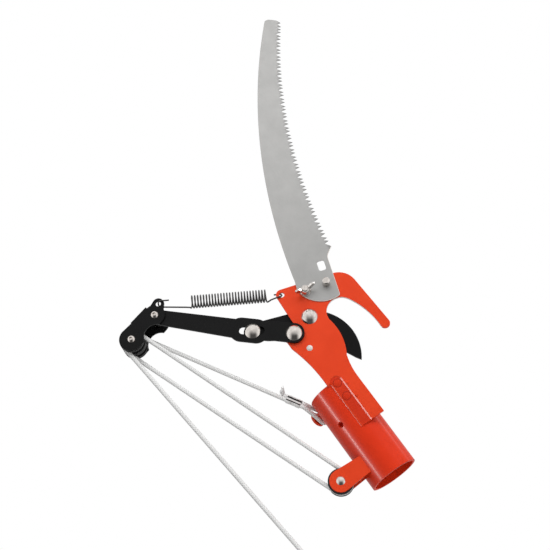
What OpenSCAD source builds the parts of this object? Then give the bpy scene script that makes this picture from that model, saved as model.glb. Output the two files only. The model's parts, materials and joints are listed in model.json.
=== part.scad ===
// Tree pruner head for a long pole: a hook plate with a bypass blade, a rope lever with
// pulleys and a return spring, a curved saw and a tubular pole socket.
// Millimetres. The origin is the centre of the socket's mouth, +Z runs up the pole,
// +X points to the hook side and -Y is the front.

/* [Pole socket] */
// Bore of the socket, which takes the pole
pole_d = 40; // [36:1:44]
// Wall of the socket tube
socket_wall = 2.5; // [2:0.25:3.5]
// Length of the socket
socket_len = 95; // [85:1:110]
// Hole for the screw that fixes the pole
fix_hole_d = 5.5; // [4:0.5:7]
// Distance of the fixing hole below the socket's rim
fix_hole_drop = 35; // [25:1:45]

/* [Hook plate] */
// Thickness of the plate
plate_t = 2.5; // [2:0.25:3.5]
// Sideways offset of the blade pivot from the pole's axis
pivot_x = 20.5; // [18:0.5:23]
// Height of the blade pivot above the socket's rim
pivot_rise = 63; // [60:1:70]
// Radius of the throat between the hook and the neck
throat_r = 13.7; // [12:0.1:15]
// Radius of the long inner edge of the hook
hook_edge_r = 73.5; // [70:0.5:80]
// Radius of the rounded tip of the hook
hook_tip_r = 4.6; // [3.5:0.1:6]
// Radius of the shoulder on the outside of the hook
hook_shoulder_r = 18.6; // [16:0.1:20]
// Length of the tail that lies on the socket
tail_len = 48; // [44:1:56]
// Width of the pressed channel in the tail
channel_w = 11.4; // [9:0.2:13]
// Depth of the pressed channel
channel_depth = 0.9; // [0.5:0.1:1.2]
// Shank of the two rivets that hold the tail to the socket
tail_rivet_d = 4; // [3:0.5:5]

/* [Cutting blade] */
// Thickness of the cutting blade
blade_t = 3; // [2.5:0.25:4]
// Radius of the curved cutting edge
blade_edge_r = 45; // [43:0.5:47]
// Shank of the main pivot rivet
pivot_d = 8; // [6:0.5:9]
// Domed head of the main pivot rivet
pivot_head_d = 15.5; // [13:0.5:17]
// Shank of the stop pin
stop_d = 4; // [3:0.5:5]

/* [Saw] */
// Thickness of the saw blade
saw_t = 1.2; // [0.9:0.1:1.6]
// Length of the toothed edge
saw_len = 256; // [220:1:280]
// Mean distance from tooth to tooth
tooth_pitch = 4.15; // [3.75:0.05:5]
// Depth of the teeth
tooth_depth = 4.5; // [3:0.1:5]
// Thread of the bolt that clamps the saw
saw_bolt_d = 5; // [4:0.5:6]
// Span of the wing nut over its wings
wing_span = 20; // [18:0.5:24]
// Diameter of the locating stud
stud_d = 6.8; // [5:0.2:8]

/* [Rope lever] */
// Thickness of the lever
lever_t = 3; // [2.5:0.25:4]
// Width of the lever's arm at its outer end
lever_w = 14; // [12:0.5:16]
// Width of the lever round the slot
lever_slot_w = 23; // [21:0.5:26]
// Distance from the lever pivot to the bracket screw
lever_len = 131; // [125:1:140]
// Shank of the lever pivot rivet
lever_pin_d = 8; // [6:0.5:9]
// Domed head of the lever pivot rivet
lever_head_d = 15; // [13:0.2:16]
// Shank of the drive rivet that slides in the slot
drive_pin_d = 5.6; // [4.5:0.1:6.5]
// Domed head of the drive rivet
drive_head_d = 14.5; // [11:0.5:15]

/* [Pulleys] */
// Outside diameter of a pulley wheel
wheel_d = 23; // [21:0.5:25]
// Width of a pulley wheel
wheel_w = 10; // [8:0.25:11]
// Axle of the pulley wheels
axle_d = 5; // [4:0.25:6]
// Thickness of the bracket cheeks
cheek_t = 2; // [1.5:0.25:2.5]
// Screw that holds the bracket to the lever
screw_d = 4.8; // [4:0.2:6]

/* [Return spring] */
// Wire of the spring
wire_d = 1.3; // [1:0.1:1.5]
// Outside diameter of the coils
coil_d = 11.8; // [10:0.2:13]
// Number of coils
coil_turns = 26; // [20:1:28]

/* [Rope] */
// Diameter of the rope
rope_d = 4; // [3.5:0.1:4.4]
// Length of the crimp sleeve
crimp_len = 14; // [10:1:18]

/* [Hidden] */
$fn = 48;

// Colours
red_paint = [0.86, 0.24, 0.12];
black_paint = [0.07, 0.07, 0.075];
bright_steel = [0.72, 0.72, 0.7];
saw_steel = [0.66, 0.66, 0.65];
white_rope = [0.9, 0.9, 0.88];

// Running clearance on a radius, gaps between sliding faces, welds and wheels, and a cutter's overrun
run_fit = 0.05;
face_gap = 0.2;
weld_gap = 0.05;
wheel_gap = 0.3;
over = 1;

// Layers from front to back; the plate lies on a shallow flat seat on the socket
seat_cut = 0.3;
socket_r = pole_d / 2 + socket_wall;
plate_back = seat_cut - socket_r;
plate_front = plate_back - plate_t;
blade_front = plate_back + face_gap;
blade_back = blade_front + blade_t;
lever_back = blade_front - face_gap;
lever_front = lever_back - lever_t;
lever_end_back = plate_front - face_gap;
lever_end_front = lever_end_back - lever_t;
saw_front = plate_front - saw_t;
washer_t = 1.2;

// Places on the plate, by their steps across and up from the blade pivot
pivot_z = socket_len + pivot_rise;
pivot = [pivot_x, pivot_z];
lever_step = [-21, -6];
lever_pivot = pivot + lever_step;
drive_step = [-50.5, 18.5];
drive_at = pivot + drive_step;
stop_step = [-17.4, -25.3];
stop_at = pivot + stop_step;
saw_bolt_step = [11, 22];
saw_bolt_at = pivot + saw_bolt_step;
stud_step = [31, 17];
stud_at = pivot + stud_step;
ear_step = [-8.7, 32.3];
ear_at = pivot + ear_step;
ear_r = 5.4;
ear_hole_d = 5;

// Points on an arc, a direction's angle, a turned vector and the normal of an outside tangent
function polar(a) = [cos(a), sin(a)];
function arc(c, r, a0, a1, n = 16) = [for (i = [0:n]) c + r * polar(a0 + (a1 - a0) * i / n)];
function heading(v) = atan2(v.y, v.x);
function unit(v) = v / norm(v);
function turn(v, a) = [v.x * cos(a) - v.y * sin(a), v.x * sin(a) + v.y * cos(a)];
function tangent_normal(c1, r1, c2, r2) = heading(c2 - c1) + acos((r1 - r2) / norm(c2 - c1));

// A flat shape drawn across and up the plate, set at a depth, and pins and nuts square to the plate
module slab(y0, y1) translate([0, y1, 0]) rotate([90, 0, 0]) linear_extrude(y1 - y0) children();
module pin(p, y0, y1, d) translate([p.x, y1, p.y]) rotate([90, 0, 0]) cylinder(h = y1 - y0, d = d);
module taper(p, y0, y1, d0, d1) translate([p.x, y1, p.y]) rotate([90, 0, 0])
    cylinder(h = y1 - y0, d1 = d1, d2 = d0);
module hex(p, y0, y1, across) translate([p.x, y1, p.y]) rotate([90, 0, 0])
    cylinder(h = y1 - y0, d = across / cos(30), $fn = 6);

// A link: two round ends joined by their outside tangents, which may be sunk a little
module link(p1, r1, p2, r2, sink = 0) {
    n1 = tangent_normal(p1, r1, p2, r2);
    n2 = 2 * heading(p2 - p1) - n1;
    translate(p1) circle(r1);
    translate(p2) circle(r2);
    polygon([p1 + (r1 - sink) * polar(n1), p1 + (r1 - sink) * polar(n2),
        p2 + (r2 - sink) * polar(n2), p2 + (r2 - sink) * polar(n1)]);
}

// A domed head with its flat side at y0; a positive height crowns to the front, a negative one to the back
module dome(p, y0, d, h) {
    ball_r = (d * d / 4 + h * h) / (2 * abs(h));
    intersection() {
        translate([p.x, y0 + sign(h) * ball_r - h, p.y]) sphere(ball_r);
        pin(p, min(y0, y0 - sign(h) * (abs(h) + over)), max(y0, y0 - sign(h) * (abs(h) + over)), d + over);
    }
}

// A tube of triangles swept along a route, with flat ends; each ring carries on the last one's direction
function side_of(t) = unit(cross(abs(t.y) < 0.9 ? [0, 1, 0] : [1, 0, 0], t));
function along(p, i) = unit(p[min(i + 1, len(p) - 1)] - p[max(i - 1, 0)]);
function carried(u, t) = unit(u - (u * t) * t);
function frames(p) = [for (i = 0, u = side_of(along(p, 0)); i < len(p);
    i = i + 1, u = carried(u, along(p, i))) carried(u, along(p, i))];
function ring(c, t, u, r, sides) = let (v = cross(t, u))
    [for (k = [0:sides - 1]) c + r * (cos(360 * k / sides) * u + sin(360 * k / sides) * v)];
module tube(route, d, sides) {
    n = len(route);
    last = (n - 1) * sides;
    facing = frames(route);
    rings = [for (i = [0:n - 1]) each ring(route[i], along(route, i), facing[i], d / 2, sides)];
    walls = [for (i = [0:n - 2], k = [0:sides - 1])
        let (a = i * sides + k, b = i * sides + (k + 1) % sides)
            each [[a, b, a + sides], [b, b + sides, a + sides]]];
    lids = [for (k = [1:sides - 2]) each [[0, k + 1, k], [last, last + k, last + k + 1]]];
    polyhedron(rings, concat(walls, lids));
}

// Outline of the hook plate, clockwise from its spring ear
shoulder_step = [36.2, 4.8];
shoulder_at = pivot + shoulder_step;
hook_edge_step = [-26, -41];
hook_edge_at = pivot + hook_edge_step;
tip_angle = -3.3;
tip_at = hook_edge_at + (hook_edge_r + hook_tip_r) * polar(tip_angle);
throat_angle = 28;
throat_at = hook_edge_at + (hook_edge_r - throat_r) * polar(throat_angle);
neck_step = [-37.3, -22.9];
neck_at = pivot + neck_step;
neck_r = 51.3;
neck_angles = [11.3, -32];
hollow_step = [69.7, -72];
hollow_at = pivot + hollow_step;
hollow_r = 67.2;
hollow_angle = 161.2;
neck_back_step = [-170.6, -58.4];
neck_back_at = pivot + neck_back_step;
neck_back_r = 145.8;
neck_back_angle = 16.6;
lobe_r = 10.5;
lobe_angles = [200, 60];
ear_side = 183;
rim_gap = 0.7;
channel_side = -16.1;
channel_x = pivot_x + channel_side;
tail_left = channel_x - channel_w / 2;
tail_side = 2.5;
tail_right = pivot_x + tail_side;
tail_bottom = socket_len - tail_len;
tail_rivet_drop = [3.6, 18];
tail_rivet_z = [for (d = tail_rivet_drop) socket_len - d];
channel_rise = 3.4;
channel_top = socket_len + channel_rise;
nib_side = 1.4;
nib_x = channel_x + channel_w / 2 + nib_side;
nib_drop = [9, 23];
nib_z = [for (d = nib_drop) socket_len - d];
nib_d = 2.4;
top_normal = tangent_normal(ear_at, ear_r, shoulder_at, hook_shoulder_r);
side_normal = tangent_normal(shoulder_at, hook_shoulder_r, tip_at, hook_tip_r);
neck_back_low = asin((socket_len + rim_gap - neck_back_at.y) / neck_back_r);

plate_outline = concat(
    arc(ear_at, ear_r, ear_side, top_normal),
    arc(shoulder_at, hook_shoulder_r, top_normal, side_normal),
    arc(tip_at, hook_tip_r, side_normal, tip_angle - 180),
    arc(hook_edge_at, hook_edge_r, tip_angle, throat_angle, 20),
    arc(throat_at, throat_r, throat_angle, 180),
    arc(neck_at, neck_r, neck_angles[0], neck_angles[1]),
    arc(hollow_at, hollow_r, hollow_angle, 180, 8),
    [[tail_right, tail_bottom], [tail_left, tail_bottom], [tail_left, socket_len + rim_gap]],
    arc(neck_back_at, neck_back_r, neck_back_low, neck_back_angle, 8),
    arc(lever_pivot, lobe_r, lobe_angles[0], lobe_angles[1]));

module hook_plate() color(red_paint) {
    difference() {
        slab(plate_front, plate_back) polygon(plate_outline);
        slab(plate_front - over, plate_front + channel_depth) {
            translate([tail_left - over, tail_bottom - over])
                square([channel_w + over, channel_top - channel_w / 2 - tail_bottom + over]);
            translate([channel_x, channel_top - channel_w / 2]) circle(channel_w / 2);
        }
        pin(pivot, plate_front - over, plate_back + over, pivot_d + 2 * run_fit);
        pin(lever_pivot, plate_front - over, plate_back + over, lever_pin_d + 2 * run_fit);
        taper(lever_pivot, plate_back - flare_t, plate_back + over, lever_pin_d + 2 * run_fit,
            lever_pin_d + 2 * run_fit + 2 * (flare_t + over));
        pin(stop_at, plate_front - over, plate_back + over, stop_d + 2 * run_fit);
        pin(ear_at, plate_front - over, plate_back + over, ear_hole_d);
        pin(saw_bolt_at, plate_front - over, plate_back + over, saw_bolt_d + 2 * run_fit);
        pin(stud_at, plate_front - over, plate_back + over, stud_shank_d + 2 * run_fit);
        for (z = tail_rivet_z)
            pin([channel_x, z], plate_front - over, plate_back + over, tail_rivet_d + 2 * run_fit);
    }
    for (z = nib_z) dome([nib_x, z], plate_front + weld_gap, nib_d, nib_d / 2);
}

// Pole socket: a welded tube with a flat seat for the tail and a hole for the fixing screw
fix_hole_side = 230;
module pole_socket() color(red_paint) difference() {
    cylinder(h = socket_len, r = socket_r);
    translate([0, 0, -over]) cylinder(h = socket_len + 2 * over, d = pole_d);
    translate([tail_left, -socket_r - over, tail_bottom])
        cube([tail_right - tail_left, over + seat_cut, tail_len + over]);
    translate([0, 0, socket_len - fix_hole_drop]) rotate([0, 90, fix_hole_side])
        cylinder(h = socket_r + over, d = fix_hole_d);
    for (z = tail_rivet_z)
        pin([channel_x, z], -socket_r - over, 0, tail_rivet_d + 2 * run_fit);
}

// Rivets of the tail: low heads in the channel, ends just inside the socket's wall
tail_head = [7.6, 0.8];
tail_rivet_sink = 0.3;
tail_rivet_near = max(0, abs(channel_x) - tail_rivet_d / 2);
tail_rivet_end = -sqrt(pow(pole_d / 2, 2) - pow(tail_rivet_near, 2)) - tail_rivet_sink;
module tail_rivets() color(red_paint) for (z = tail_rivet_z) {
    dome([channel_x, z], plate_front + channel_depth, tail_head[0], tail_head[1]);
    pin([channel_x, z], plate_front + channel_depth - tail_head[1] / 2, tail_rivet_end, tail_rivet_d);
}

// Pivot rivet of the cutting blade, with its washer, and the rear head
head_rise = 4;
rear_head = [12, 2.2];
module pivot_rivet() color(bright_steel) {
    dome(pivot, plate_front, pivot_head_d, head_rise);
    pin(pivot, plate_front - head_rise / 2, blade_back + face_gap + washer_t + rear_head[1] / 2, pivot_d);
    dome(pivot, blade_back + face_gap + washer_t, rear_head[0], -rear_head[1]);
}
module pivot_washer() color(bright_steel) difference() {
    pin(pivot, blade_back + face_gap / 2, blade_back + face_gap / 2 + washer_t, pivot_head_d + 1);
    pin(pivot, blade_back, blade_back + washer_t + over, pivot_d + 2 * run_fit);
}

// Lever rivet: its rear end is flared flush with the plate, because the blade sweeps past there
flare_t = 1.2;
module lever_rivet() color(bright_steel) {
    dome(lever_pivot, lever_end_front - face_gap / 2, lever_head_d, head_rise);
    pin(lever_pivot, lever_end_front - head_rise / 2, plate_back - flare_t / 2, lever_pin_d);
    taper(lever_pivot, plate_back - flare_t, plate_back, lever_pin_d, lever_pin_d + 2 * flare_t);
}

// Stop pin: the heel of the cutting blade rests on it when the blade is open
stop_head = [5.6, 1.2];
module stop_pin() color(bright_steel) {
    dome(stop_at, plate_front, stop_head[0], stop_head[1]);
    pin(stop_at, plate_front - stop_head[1] / 2, blade_back, stop_d);
}

// Cutting blade: hub, tail to the drive rivet, curved edge ground from behind, and the heel
blade_step = [-20.2, -32.6];
blade_at = pivot + blade_step;
grind_angles = [-50, 36];
grind_w = 5;
grind_left = 0.6;
blade_steps = [[45, 5], [45, -66], [16.4, -64.9], [8.5, -47.9], [1, -34]];
hub_r = 12;
hub_side = -4;
tail_w = 16.8;
heel_x = stop_at.x + stop_d / 2 + wheel_gap;
heel_half = 4;
heel_chamfer = 3;
module cutting_blade() color(black_paint) difference() {
    slab(blade_front, blade_back) {
        intersection() {
            translate(blade_at) circle(blade_edge_r);
            polygon(concat([pivot], [for (s = blade_steps) pivot + s],
                [[heel_x + heel_chamfer, stop_at.y - heel_half], [heel_x, stop_at.y - heel_half + heel_chamfer],
                    [heel_x, stop_at.y + heel_half], pivot + [-hub_r, hub_side]]));
        }
        translate(pivot) circle(hub_r);
        link(pivot, tail_w / 2, drive_at, tail_w / 2);
    }
    translate([blade_at.x, blade_back, blade_at.y]) rotate([90, 0, 0]) rotate(grind_angles[0])
        rotate_extrude(angle = grind_angles[1] - grind_angles[0]) polygon([
            [blade_edge_r - grind_w, 0], [blade_edge_r + grind_w, 2 * (blade_t - grind_left)],
            [blade_edge_r + grind_w, -over], [blade_edge_r - grind_w, -over]]);
    pin(pivot, blade_front - over, blade_back + over, pivot_d + 2 * run_fit);
    pin(drive_at, blade_front - over, blade_back + over, drive_pin_d + 2 * run_fit);
}

// Drive rivet: fixed in the blade's tail, it slides in the lever's slot
drive_rise = 3.2;
drive_rear = [11, 2];
module drive_rivet() color(bright_steel) {
    dome(drive_at, lever_front - face_gap / 2, drive_head_d, drive_rise);
    pin(drive_at, lever_front - drive_rise / 2, blade_back + drive_rear[1] / 2, drive_pin_d);
    dome(drive_at, blade_back, drive_rear[0], -drive_rear[1]);
}

// Saw blade: a curved back, an edge of paired teeth and a root with bolt, stud and hanging holes
saw_back_step = [584, -109];
saw_back_at = pivot + saw_back_step;
saw_back_r = 593.5;
saw_back_start = 165.9;
saw_back_extra = 41;
saw_back_end = saw_back_start - (saw_len + saw_back_extra) / saw_back_r * 180 / PI;
saw_edge_step = [616.7, -59.9];
saw_edge_at = pivot + saw_edge_step;
saw_edge_r = 569.8;
saw_edge_start = 169.35;
saw_edge_end = saw_edge_start - saw_len / saw_edge_r * 180 / PI;
spur_len = 4.5;
spur_end = saw_edge_start - spur_len / saw_edge_r * 180 / PI;
saw_root_step = [32.5, 27.9];
saw_root_at = pivot + saw_root_step;
saw_root_r = 27.4;
saw_root_angles = [182, 270];
saw_corner_step = [33.5, 2.5];
saw_corner_at = pivot + saw_corner_step;
saw_corner_r = 2;
saw_corner_angles = [270, 344];
saw_hollow_step = [54.6, 34.5];
saw_hollow_at = pivot + saw_hollow_step;
saw_hollow_r = 8;
saw_hollow_start = 161;
hanging_step = [37.7, 34.4];
hanging_at = pivot + hanging_step;
hanging_size = [7, 10];
hanging_turn = -18;
hanging_r = 2;

// Teeth stand in pairs that lean towards the handle: deep gullets between the pairs and a shallower one inside
tooth_pairs = floor((saw_len - spur_len) / (2 * tooth_pitch));
pair_angle = (saw_edge_end - spur_end) / tooth_pairs;
gullet_share = 0.05;
tip_share = 0.21;
tip_lean = 0.1;
inner_share = 0.92;
inner_depth = inner_share * tooth_depth;
function saw_edge(a, depth) = saw_edge_at + (saw_edge_r + depth) * polar(a);
function tooth_pair(i) = let (a = spur_end + pair_angle * i) [
    saw_edge(a + pair_angle * gullet_share, tooth_depth),
    saw_edge(a + pair_angle * (1 / 2 - tip_share - tip_lean), 0),
    saw_edge(a + pair_angle / 2, inner_depth),
    saw_edge(a + pair_angle * (1 / 2 + tip_share - tip_lean), 0),
    saw_edge(a + pair_angle * (1 - gullet_share), tooth_depth)];
saw_spur = saw_edge(saw_edge_start, 0);
saw_toe = saw_edge(saw_edge_end, 0);
saw_end = saw_back_at + saw_back_r * polar(saw_back_end);
saw_tip_shape = [[0.28, 2], [0.13, 4.3], [0.35, 5.5], [0.62, 4.6], [0.87, 3.2], [0.96, 1.5]];
saw_tip = [for (m = saw_tip_shape)
    saw_toe + (saw_end - saw_toe) * m[0] + m[1] * unit(turn(saw_end - saw_toe, -90))];
saw_outline = concat(
    arc(saw_root_at, saw_root_r, saw_root_angles[0], saw_root_angles[1]),
    arc(saw_corner_at, saw_corner_r, saw_corner_angles[0], saw_corner_angles[1], 6),
    arc(saw_hollow_at, saw_hollow_r, saw_hollow_start, tangent_normal(saw_hollow_at, saw_hollow_r, saw_spur, 0), 6),
    [saw_spur],
    [for (i = [0:tooth_pairs - 1]) each tooth_pair(i)],
    [saw_toe],
    saw_tip,
    arc(saw_back_at, saw_back_r, saw_back_end, saw_back_start, 40));

module saw_blade() color(saw_steel) difference() {
    slab(saw_front, plate_front) difference() {
        polygon(saw_outline);
        translate(hanging_at) rotate(hanging_turn) {
            square([hanging_size.x, hanging_size.y - 2 * hanging_r], center = true);
            square([hanging_size.x - 2 * hanging_r, hanging_size.y], center = true);
            for (i = [-1, 1], j = [-1, 1])
                translate([i * (hanging_size.x / 2 - hanging_r), j * (hanging_size.y / 2 - hanging_r)])
                    circle(hanging_r);
        }
    }
    pin(saw_bolt_at, saw_front - over, plate_front + over, saw_bolt_d + 2 * run_fit);
    pin(stud_at, saw_front - over, plate_front + over, stud_d + face_gap);
}

// Saw clamp: a bolt from behind, a washer, a wing nut that turns, and the locating stud
nut_y = saw_front - washer_t;
nut_h = 5;
nut_d = [7.5, 9];
wing_t = 1.8;
wing_turn = -8.6;
wing_foot = [3, 3];
wing_foot_r = 2.4;
wing_end_r = 2.4;
wing_rise = 7.5;
bolt_head = [9, 2];
bolt_over = 1.5;
module saw_bolt() color(bright_steel) {
    pin(saw_bolt_at, nut_y - nut_h - bolt_over, plate_back + bolt_head[1] / 2, saw_bolt_d);
    dome(saw_bolt_at, plate_back, bolt_head[0], -bolt_head[1]);
}
module saw_washer() color(bright_steel) difference() {
    pin(saw_bolt_at, nut_y, saw_front, 2 * saw_bolt_d);
    pin(saw_bolt_at, nut_y - over, saw_front + over, saw_bolt_d + 2 * run_fit);
}
module wing() translate([0, nut_y, -wing_t / 2]) linear_extrude(wing_t)
    link([wing_foot.x, -wing_foot.y], wing_foot_r, [wing_span / 2 - wing_end_r, -wing_rise], wing_end_r);
module wing_nut() color(bright_steel) difference() {
    union() {
        taper(saw_bolt_at, nut_y - nut_h, nut_y, nut_d[0], nut_d[1]);
        translate([saw_bolt_at.x, 0, saw_bolt_at.y]) rotate([0, -wing_turn, 0]) {
            wing();
            mirror([1, 0, 0]) wing();
        }
    }
    pin(saw_bolt_at, nut_y - 2 * nut_h, nut_y + over, saw_bolt_d + 2 * run_fit);
}
stud_h = 9;
stud_shank_d = 4.8;
stud_chamfer = 0.6;
module saw_stud() color(bright_steel) {
    pin(stud_at, plate_front - stud_h + stud_chamfer, plate_front, stud_d);
    taper(stud_at, plate_front - stud_h, plate_front - stud_h + stud_chamfer, stud_d - 2 * stud_chamfer, stud_d);
    pin(stud_at, plate_front - over, plate_back, stud_shank_d);
}

// Rope lever: places along it and across it, from the lever pivot
lever_dir = 137.6;
function on_lever(a, c) = lever_pivot + a * polar(lever_dir) + c * polar(lever_dir + 90);
screw_side = -3;
screw_at = on_lever(lever_len, screw_side);
axle_step = [17, 23];
axle_at = on_lever(lever_len + axle_step.x, axle_step.y);
spring_step = [-1.5, -14];
spring_at = on_lever(lever_len + spring_step.x, spring_step.y);
joggle = [17, 23];
joggle_w = 18.4;
lever_end_w = 19;
slot_part = [35, 49];
slot_part_side = 1.2;
arm_from = [57, 0.7];
arm_side = -2;
arm_to = [lever_len, arm_side];
arm_taper = 2;

// The slot follows the drive rivet, for a blade that turns at a fixed share of the lever's angle
lever_swing = 70;
drive_ratio = 0.63;
slot_dir = -36;
slot_spare = [9, 1];
path_steps = 14;
function drive_path(t) = turn(pivot + turn(drive_at - pivot, drive_ratio * t) - lever_pivot, -t);
drive_points = [for (i = [0:path_steps]) drive_path(lever_swing * i / path_steps)];
slot_across = [for (p = drive_points) p * polar(slot_dir + 90)];
slot_along = [for (p = drive_points) p * polar(slot_dir)];
slot_r = drive_pin_d / 2 + face_gap + (max(slot_across) - min(slot_across)) / 2;
slot_line = lever_pivot + polar(slot_dir + 90) * (max(slot_across) + min(slot_across)) / 2;
slot_ends = [slot_line + polar(slot_dir) * (min(slot_along) - slot_spare[0]),
    slot_line + polar(slot_dir) * (max(slot_along) + slot_spare[1])];

// The lever is a bent sheet, cut to its outline: it steps back from its pivot end, in front of the plate,
// to the plate's own layer
lever_profile = [
    [-lever_end_w, lever_end_front], [joggle[0], lever_end_front], [joggle[1], lever_front],
    [lever_len + lever_w, lever_front], [lever_len + lever_w, lever_back], [joggle[1], lever_back],
    [joggle[0], lever_end_back], [-lever_end_w, lever_end_back]];
module lever_sheet() translate([lever_pivot.x, 0, lever_pivot.y]) rotate([0, -lever_dir, 0])
    translate([0, 0, -lever_slot_w]) linear_extrude(2 * lever_slot_w) polygon(lever_profile);
module lever_outline() {
    translate(lever_pivot) circle(d = lever_end_w);
    polygon([for (p = [[0, -1], [slot_part[0], -1], [slot_part[0], 1], [0, 1]])
        on_lever(p[0], p[1] * joggle_w / 2)]);
    link(on_lever(slot_part[0], slot_part_side), lever_slot_w / 2,
        on_lever(slot_part[1], slot_part_side), lever_slot_w / 2);
    link(on_lever(arm_from[0], arm_from[1]), lever_w / 2 + arm_taper,
        on_lever(arm_to[0], arm_to[1]), lever_w / 2);
}
module lever_arm() color(black_paint) difference() {
    intersection() {
        lever_sheet();
        slab(lever_end_front - over, lever_back + over) lever_outline();
    }
    pin(lever_pivot, lever_end_front - over, lever_end_back + over, lever_pin_d + 2 * run_fit);
    pin(screw_at, lever_front - over, lever_back + over, screw_d + 2 * run_fit);
    slab(lever_front - over, lever_back + over) link(slot_ends[0], slot_r, slot_ends[1], slot_r);
}

// Pulley bracket on the lever's end: two cheeks joined by a web, and the spring's ear on the front cheek
wheel_step = wheel_w + wheel_gap;
front_wheel_y = lever_front + wheel_gap;
rear_wheel_y = front_wheel_y + wheel_step;
rear_cheek_y = rear_wheel_y + wheel_step;
bracket_back = rear_cheek_y + cheek_t;
cheek_r = 11.3;
cheek_neck_r = 9.8;
cheek_hollow_r = 11.8;
cheek_hollow_at = [0.55, -15.8];
spring_root_r = 8;
spring_ear_r = 5.5;
web_span = [0.35, 1];
web_side = 9.5;
function on_bracket(m, side) = axle_at + m * (screw_at - axle_at) + side * unit(turn(screw_at - axle_at, 90));
module cheek() difference() {
    link(axle_at, cheek_r, screw_at, cheek_neck_r, weld_gap);
    translate(on_bracket(cheek_hollow_at[0], cheek_hollow_at[1])) circle(cheek_hollow_r);
}
module pulley_bracket() color(black_paint) difference() {
    union() {
        slab(lever_front - cheek_t, lever_front) {
            cheek();
            link(screw_at, spring_root_r, spring_at, spring_ear_r, weld_gap);
        }
        slab(rear_cheek_y, bracket_back) cheek();
        slab(lever_front - cheek_t, bracket_back) polygon([
            on_bracket(web_span[0], web_side), on_bracket(web_span[1], web_side),
            on_bracket(web_span[1], web_side + cheek_t), on_bracket(web_span[0], web_side + cheek_t)]);
    }
    pin(axle_at, lever_front - cheek_t - over, bracket_back + over, axle_d + 2 * run_fit);
    pin(screw_at, lever_front - cheek_t - over, bracket_back + over, screw_d + 2 * run_fit);
    pin(spring_at, lever_front - cheek_t - over, lever_front + over, ear_hole_d);
}

// Screws of the bracket with domed heads, the spacer behind the lever and the two nuts
screw_head = [7.6, 2.4];
screw_socket = [3, 2];
clamp_nut = [8, 3.6];
bolt_tail = 1.2;
spacer_wall = 2;
module clamp_screw(p, d) difference() {
    union() {
        dome(p, lever_front - cheek_t, screw_head[0], screw_head[1]);
        pin(p, lever_front - cheek_t - screw_head[1] / 2, bracket_back + clamp_nut[1] + bolt_tail, d);
    }
    hex(p, lever_front - cheek_t - screw_head[1] - over, lever_front - cheek_t - screw_head[1] + screw_socket[1],
        screw_socket[0]);
}
module bracket_screw() color(bright_steel) clamp_screw(screw_at, screw_d);
module axle_screw() color(bright_steel) clamp_screw(axle_at, axle_d);
module bracket_spacer() color(bright_steel) difference() {
    pin(screw_at, lever_back, rear_cheek_y, screw_d + 2 * spacer_wall);
    pin(screw_at, lever_back - over, rear_cheek_y + over, screw_d + 2 * run_fit);
}
module clamp_nuts() color(bright_steel) for (s = [[screw_at, screw_d], [axle_at, axle_d]]) difference() {
    hex(s[0], bracket_back, bracket_back + clamp_nut[1], clamp_nut[0]);
    pin(s[0], bracket_back - over, bracket_back + clamp_nut[1] + over, s[1] + 2 * run_fit);
}

// Pulley wheel: the rope lies flush in its groove, which opens a little towards the rim
rope_track_r = wheel_d / 2 - rope_d / 2;
groove_r = rope_d / 2 + wheel_gap;
groove_half = rope_d / 2 + 2 * wheel_gap;
module wheel(p, y0) color(black_paint) difference() {
    pin(p, y0, y0 + wheel_w, wheel_d);
    pin(p, y0 - over, y0 + wheel_w + over, axle_d + 2 * run_fit);
    translate([p.x, y0 + wheel_w / 2, p.y]) rotate([90, 0, 0]) rotate_extrude() {
        translate([rope_track_r, 0]) circle(groove_r);
        translate([rope_track_r, -groove_half]) square([wheel_d / 2, 2 * groove_half]);
    }
}
module front_pulley() wheel(axle_at, front_wheel_y);
module rear_pulley() wheel(axle_at, rear_wheel_y);

// Lower pulley on the side of the socket, between two cheeks and a web welded to the tube
lower_out = 20.5;
lower_rise = 20;
lower_at = [-socket_r - lower_out, lower_rise];
lower_y = -8;
lower_wheel_y = lower_y - wheel_w / 2;
lower_cheeks = [lower_wheel_y - wheel_gap - cheek_t, lower_wheel_y + wheel_w + wheel_gap];
lower_cheek_r = 10;
lower_root_r = 8;
lower_web_out = 6;
lower_web_x = -socket_r - lower_web_out;
module lower_pulley() wheel(lower_at, lower_wheel_y);
module lower_bracket() color(red_paint) difference() {
    union() {
        for (y = lower_cheeks) slab(y, y + cheek_t)
            link(lower_at, lower_cheek_r, [-socket_r / 2, lower_at.y], lower_root_r);
        slab(lower_cheeks[0], lower_cheeks[1] + cheek_t)
            translate([lower_web_x, lower_at.y - lower_root_r]) square([cheek_t, 2 * lower_root_r]);
    }
    translate([0, 0, -over]) cylinder(h = socket_len, r = socket_r + weld_gap);
    pin(lower_at, lower_cheeks[0] - over, lower_cheeks[1] + cheek_t + over, axle_d + 2 * run_fit);
}
axle_head = [8, 1.8];
module lower_axle() color(bright_steel) {
    dome(lower_at, lower_cheeks[0], axle_head[0], axle_head[1]);
    pin(lower_at, lower_cheeks[0] - axle_head[1] / 2, lower_cheeks[1] + cheek_t + axle_head[1] / 2, axle_d);
    dome(lower_at, lower_cheeks[1] + cheek_t, axle_head[0], -axle_head[1]);
}

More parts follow.
